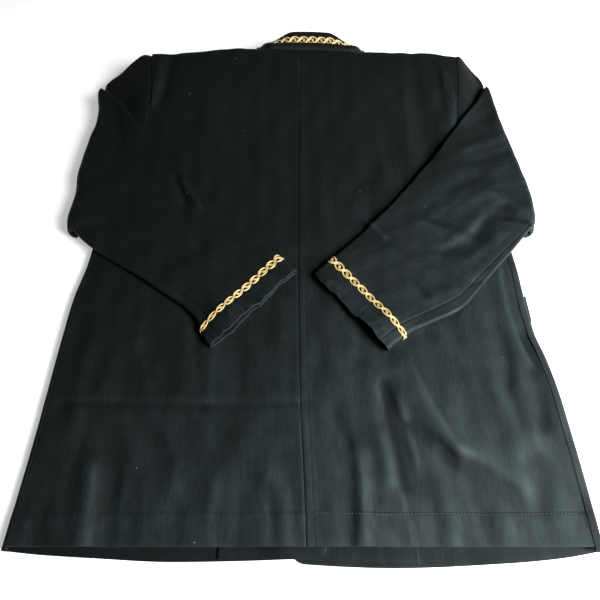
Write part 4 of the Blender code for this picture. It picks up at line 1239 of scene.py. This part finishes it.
# Points and outward normals round a sleeve under its braid, at each offset across the braid
def sleeveRing(side, offsets):
    forearm = lengthAlong(lines[side]["upper"](np.linspace(0, 1, 50)))[-1]
    fromCuff = braidForm["fromCuff"][side]
    middle = np.full(len(offsets), 3 - fromCuff / forearm)
    rings = []
    for which, count in (("upper", 60), ("under", 14)):
        c, layer = halfRing(side, middle, which, np.linspace(0, 1, count), 12, np.linspace(0, 1, 30))
        station = 3 - (fromCuff + braidForm["slant"][side] * c - offsets[:, None]) / forearm
        points = sleevePoints(side, c, layer, station)
        fine = sleeveRelief(side, points, c, layer, station)
        rings.append(points + outwardNormals(points) * fine[..., None])
    strip = np.concatenate([rings[0], rings[1][:, ::-1], rings[0][:, :1]], axis=1)
    return strip, outwardNormals(strip)


def cuffBraid(side):
    strip, normals = sleeveRing(side, np.linspace(-braidForm["strip"], braidForm["strip"], 9))
    return braidPiece(f"cuffScrollBraid_{sides[side]}", strip, normals, closed=True, hand=side)


def collarBraid():
    along = collarForm["braid"] + np.linspace(-braidForm["strip"], braidForm["strip"], 9)
    strip = collarPoints(*np.meshgrid(np.linspace(-1, 1, 321), along))
    normals = normalsOf(strip)
    if normals[4, 160, 2] < 0:  # behind the neck
        normals = -normals
    return braidPiece("collarScrollBraid", strip, normals, closed=False)


# Topstitching: small closed capsules of thread, each sunk a little at its ends

stitchForm = {"pitch": 3.4, "share": 0.62, "radius": 0.24, "sink": 0.12, "sides": 5, "step": 1.5}


def stitchRow(name, path, finish):
    form, tubes, up = stitchForm, [], np.array([[0.0, 0.0, 1.0]] * 4)
    length = lengthAlong(path)
    reach = form["share"] * form["pitch"] / 2
    lift = np.array([-form["sink"], 0.7 * form["radius"], 0.7 * form["radius"], -form["sink"]])
    for middle in np.arange(form["pitch"], length[-1] - form["pitch"], form["pitch"]):
        at = middle + reach * np.array([-1, -0.6, 0.6, 1])
        stitch = sampled(path, length, at) + lift[:, None] * up
        tubes.append(tube(stitch, up, form["radius"], form["sides"]))
    return cordsObject(name, tubes, finish)


# The rows of stitches on the back: beside the centre seam, and along the hem to its right
def backStitching():
    def onBack(x, y, fromCentre):
        return stacked(x, y, keptClear(topHeight(x, y) + backRelief(1, x, y, fromCentre)))

    step, beside = stitchForm["step"], backDetail["stitchFromCentre"]
    seamY, hemX = np.arange(2.0, backDetail["flatTo"], step), np.arange(12.0, 266.0, step)
    seam = onBack(centreBack(seamY) + beside, seamY, beside)
    hemY = backDetail["hemDepth"] - 2.4 + 0.5 * np.sin(hemX / 17)
    hem = onBack(hemX, hemY, hemX - centreBack(hemY))
    return stitchRow("centreSeamStitches", seam, blackThread), stitchRow("hemStitches", hem, paleThread)


# Build all, hide the part that each piece stands for, and attach each piece to the root

def fit(piece, node):
    if node:
        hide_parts(node)
    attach(piece, "root")


for side, name in sides.items():
    fit(backPiece(side), f"back_{name}")
    fit(frontPiece(side), f"front_{name}")
    fit(facingPiece(side), f"facing_{name}")
    fit(flapPiece(side), f"pocket_flap_{name}")
    for which in ("upper", "under"):
        fit(sleevePiece(side, which), f"{which}_sleeve_{name}")
    fit(cuffBraid(side), f"cuff_braid_{name}")
    print("pieces ready:", name)
fit(collarPiece(), "collar")
fit(collarBraid(), "collar_braid")
for piece in backStitching():
    fit(piece, None)

# The cut of what shows of each piece: its flat size in metres, how it is held, and what it rests on
cuts = """
backPanel_left      0.29   0.72  laid    frontPanel_left
backPanel_right     0.29   0.72  laid    frontPanel_right
frontPanel_left     0.34   0.73  laid
frontPanel_right    0.33   0.73  laid
facing_left_cloth   0.105  0.61  laid    frontPanel_left
facing_right_cloth  0.12   0.61  laid    frontPanel_right
pocketFlap_left     0.122  0.04  laid
pocketFlap_right    0.122  0.04  laid
upperSleeve_left    0.44   0.56  folded  backPanel_left
upperSleeve_right   0.44   0.56  folded  backPanel_right
underSleeve_left    0.2    0.52  folded  backPanel_left
underSleeve_right   0.2    0.52  folded  backPanel_right
collarCloth         0.49   0.06  laid    backPanel_left backPanel_right
"""
for line in cuts.strip().splitlines():
    name, width, length, held, *under = line.split()

# Floor, light and camera

studio = {
    "floor": "#fbfbfa",
    "floorGlow": 0.45,  # paper lit from below, so that it stays white behind black cloth
    "sky": "#ffffff",
    "skyStrength": 0.04,
    "keyPlace": (1.0, -0.68, 0.85),  # a large window to the right and in front
    "keyPower": 62.0,
    "keySize": 0.8,
    "focalLength": 530.0,  # in pixels, as solved from the photo
    "pictureWidth": 600.0,
    "downward": 58.35,
    "pastHem": 62.2,  # mm
    "eyeHeight": 0.54,
}
bpy.ops.mesh.primitive_plane_add(size=14, location=(0, 2.0, -0.0012))
floor = bpy.context.active_object
floor.name = "paleFloor"
floorFinish, floorTree, floorShader = newMaterial("mattPaleFloor")
setInputs(floorTree, floorShader, {
    "Base Color": colour(studio["floor"]), "Roughness": 0.9,
    "Emission Color": colour(studio["floor"]), "Emission Strength": studio["floorGlow"]})
floor.data.materials.append(floorFinish)

world = bpy.data.worlds.new("softStudio")
world.use_nodes = True
setInputs(world.node_tree, world.node_tree.nodes["Background"], {
    "Color": colour(studio["sky"]), "Strength": studio["skyStrength"]})
bpy.context.scene.world = world
bpy.context.scene.view_settings.view_transform = "Standard"

lamp = bpy.data.lights.new("windowLight", "AREA")
lamp.energy, lamp.size = studio["keyPower"], studio["keySize"]
window = addObject("windowLight", lamp)
window.location = studio["keyPlace"]
window.rotation_euler = (-Vector(studio["keyPlace"])).to_track_quat("-Z", "Y").to_euler()

camera = bpy.data.cameras.new("camera")
camera.sensor_width = 36
camera.lens = studio["focalLength"] / studio["pictureWidth"] * camera.sensor_width
camera.clip_start = 0.01
viewer = addObject("camera", camera)
viewer.location = (originX * mm, (originY - studio["pastHem"]) * mm, studio["eyeHeight"])
viewer.rotation_euler = (math.radians(90 - studio["downward"]), 0, 0)
bpy.context.scene.camera = viewer
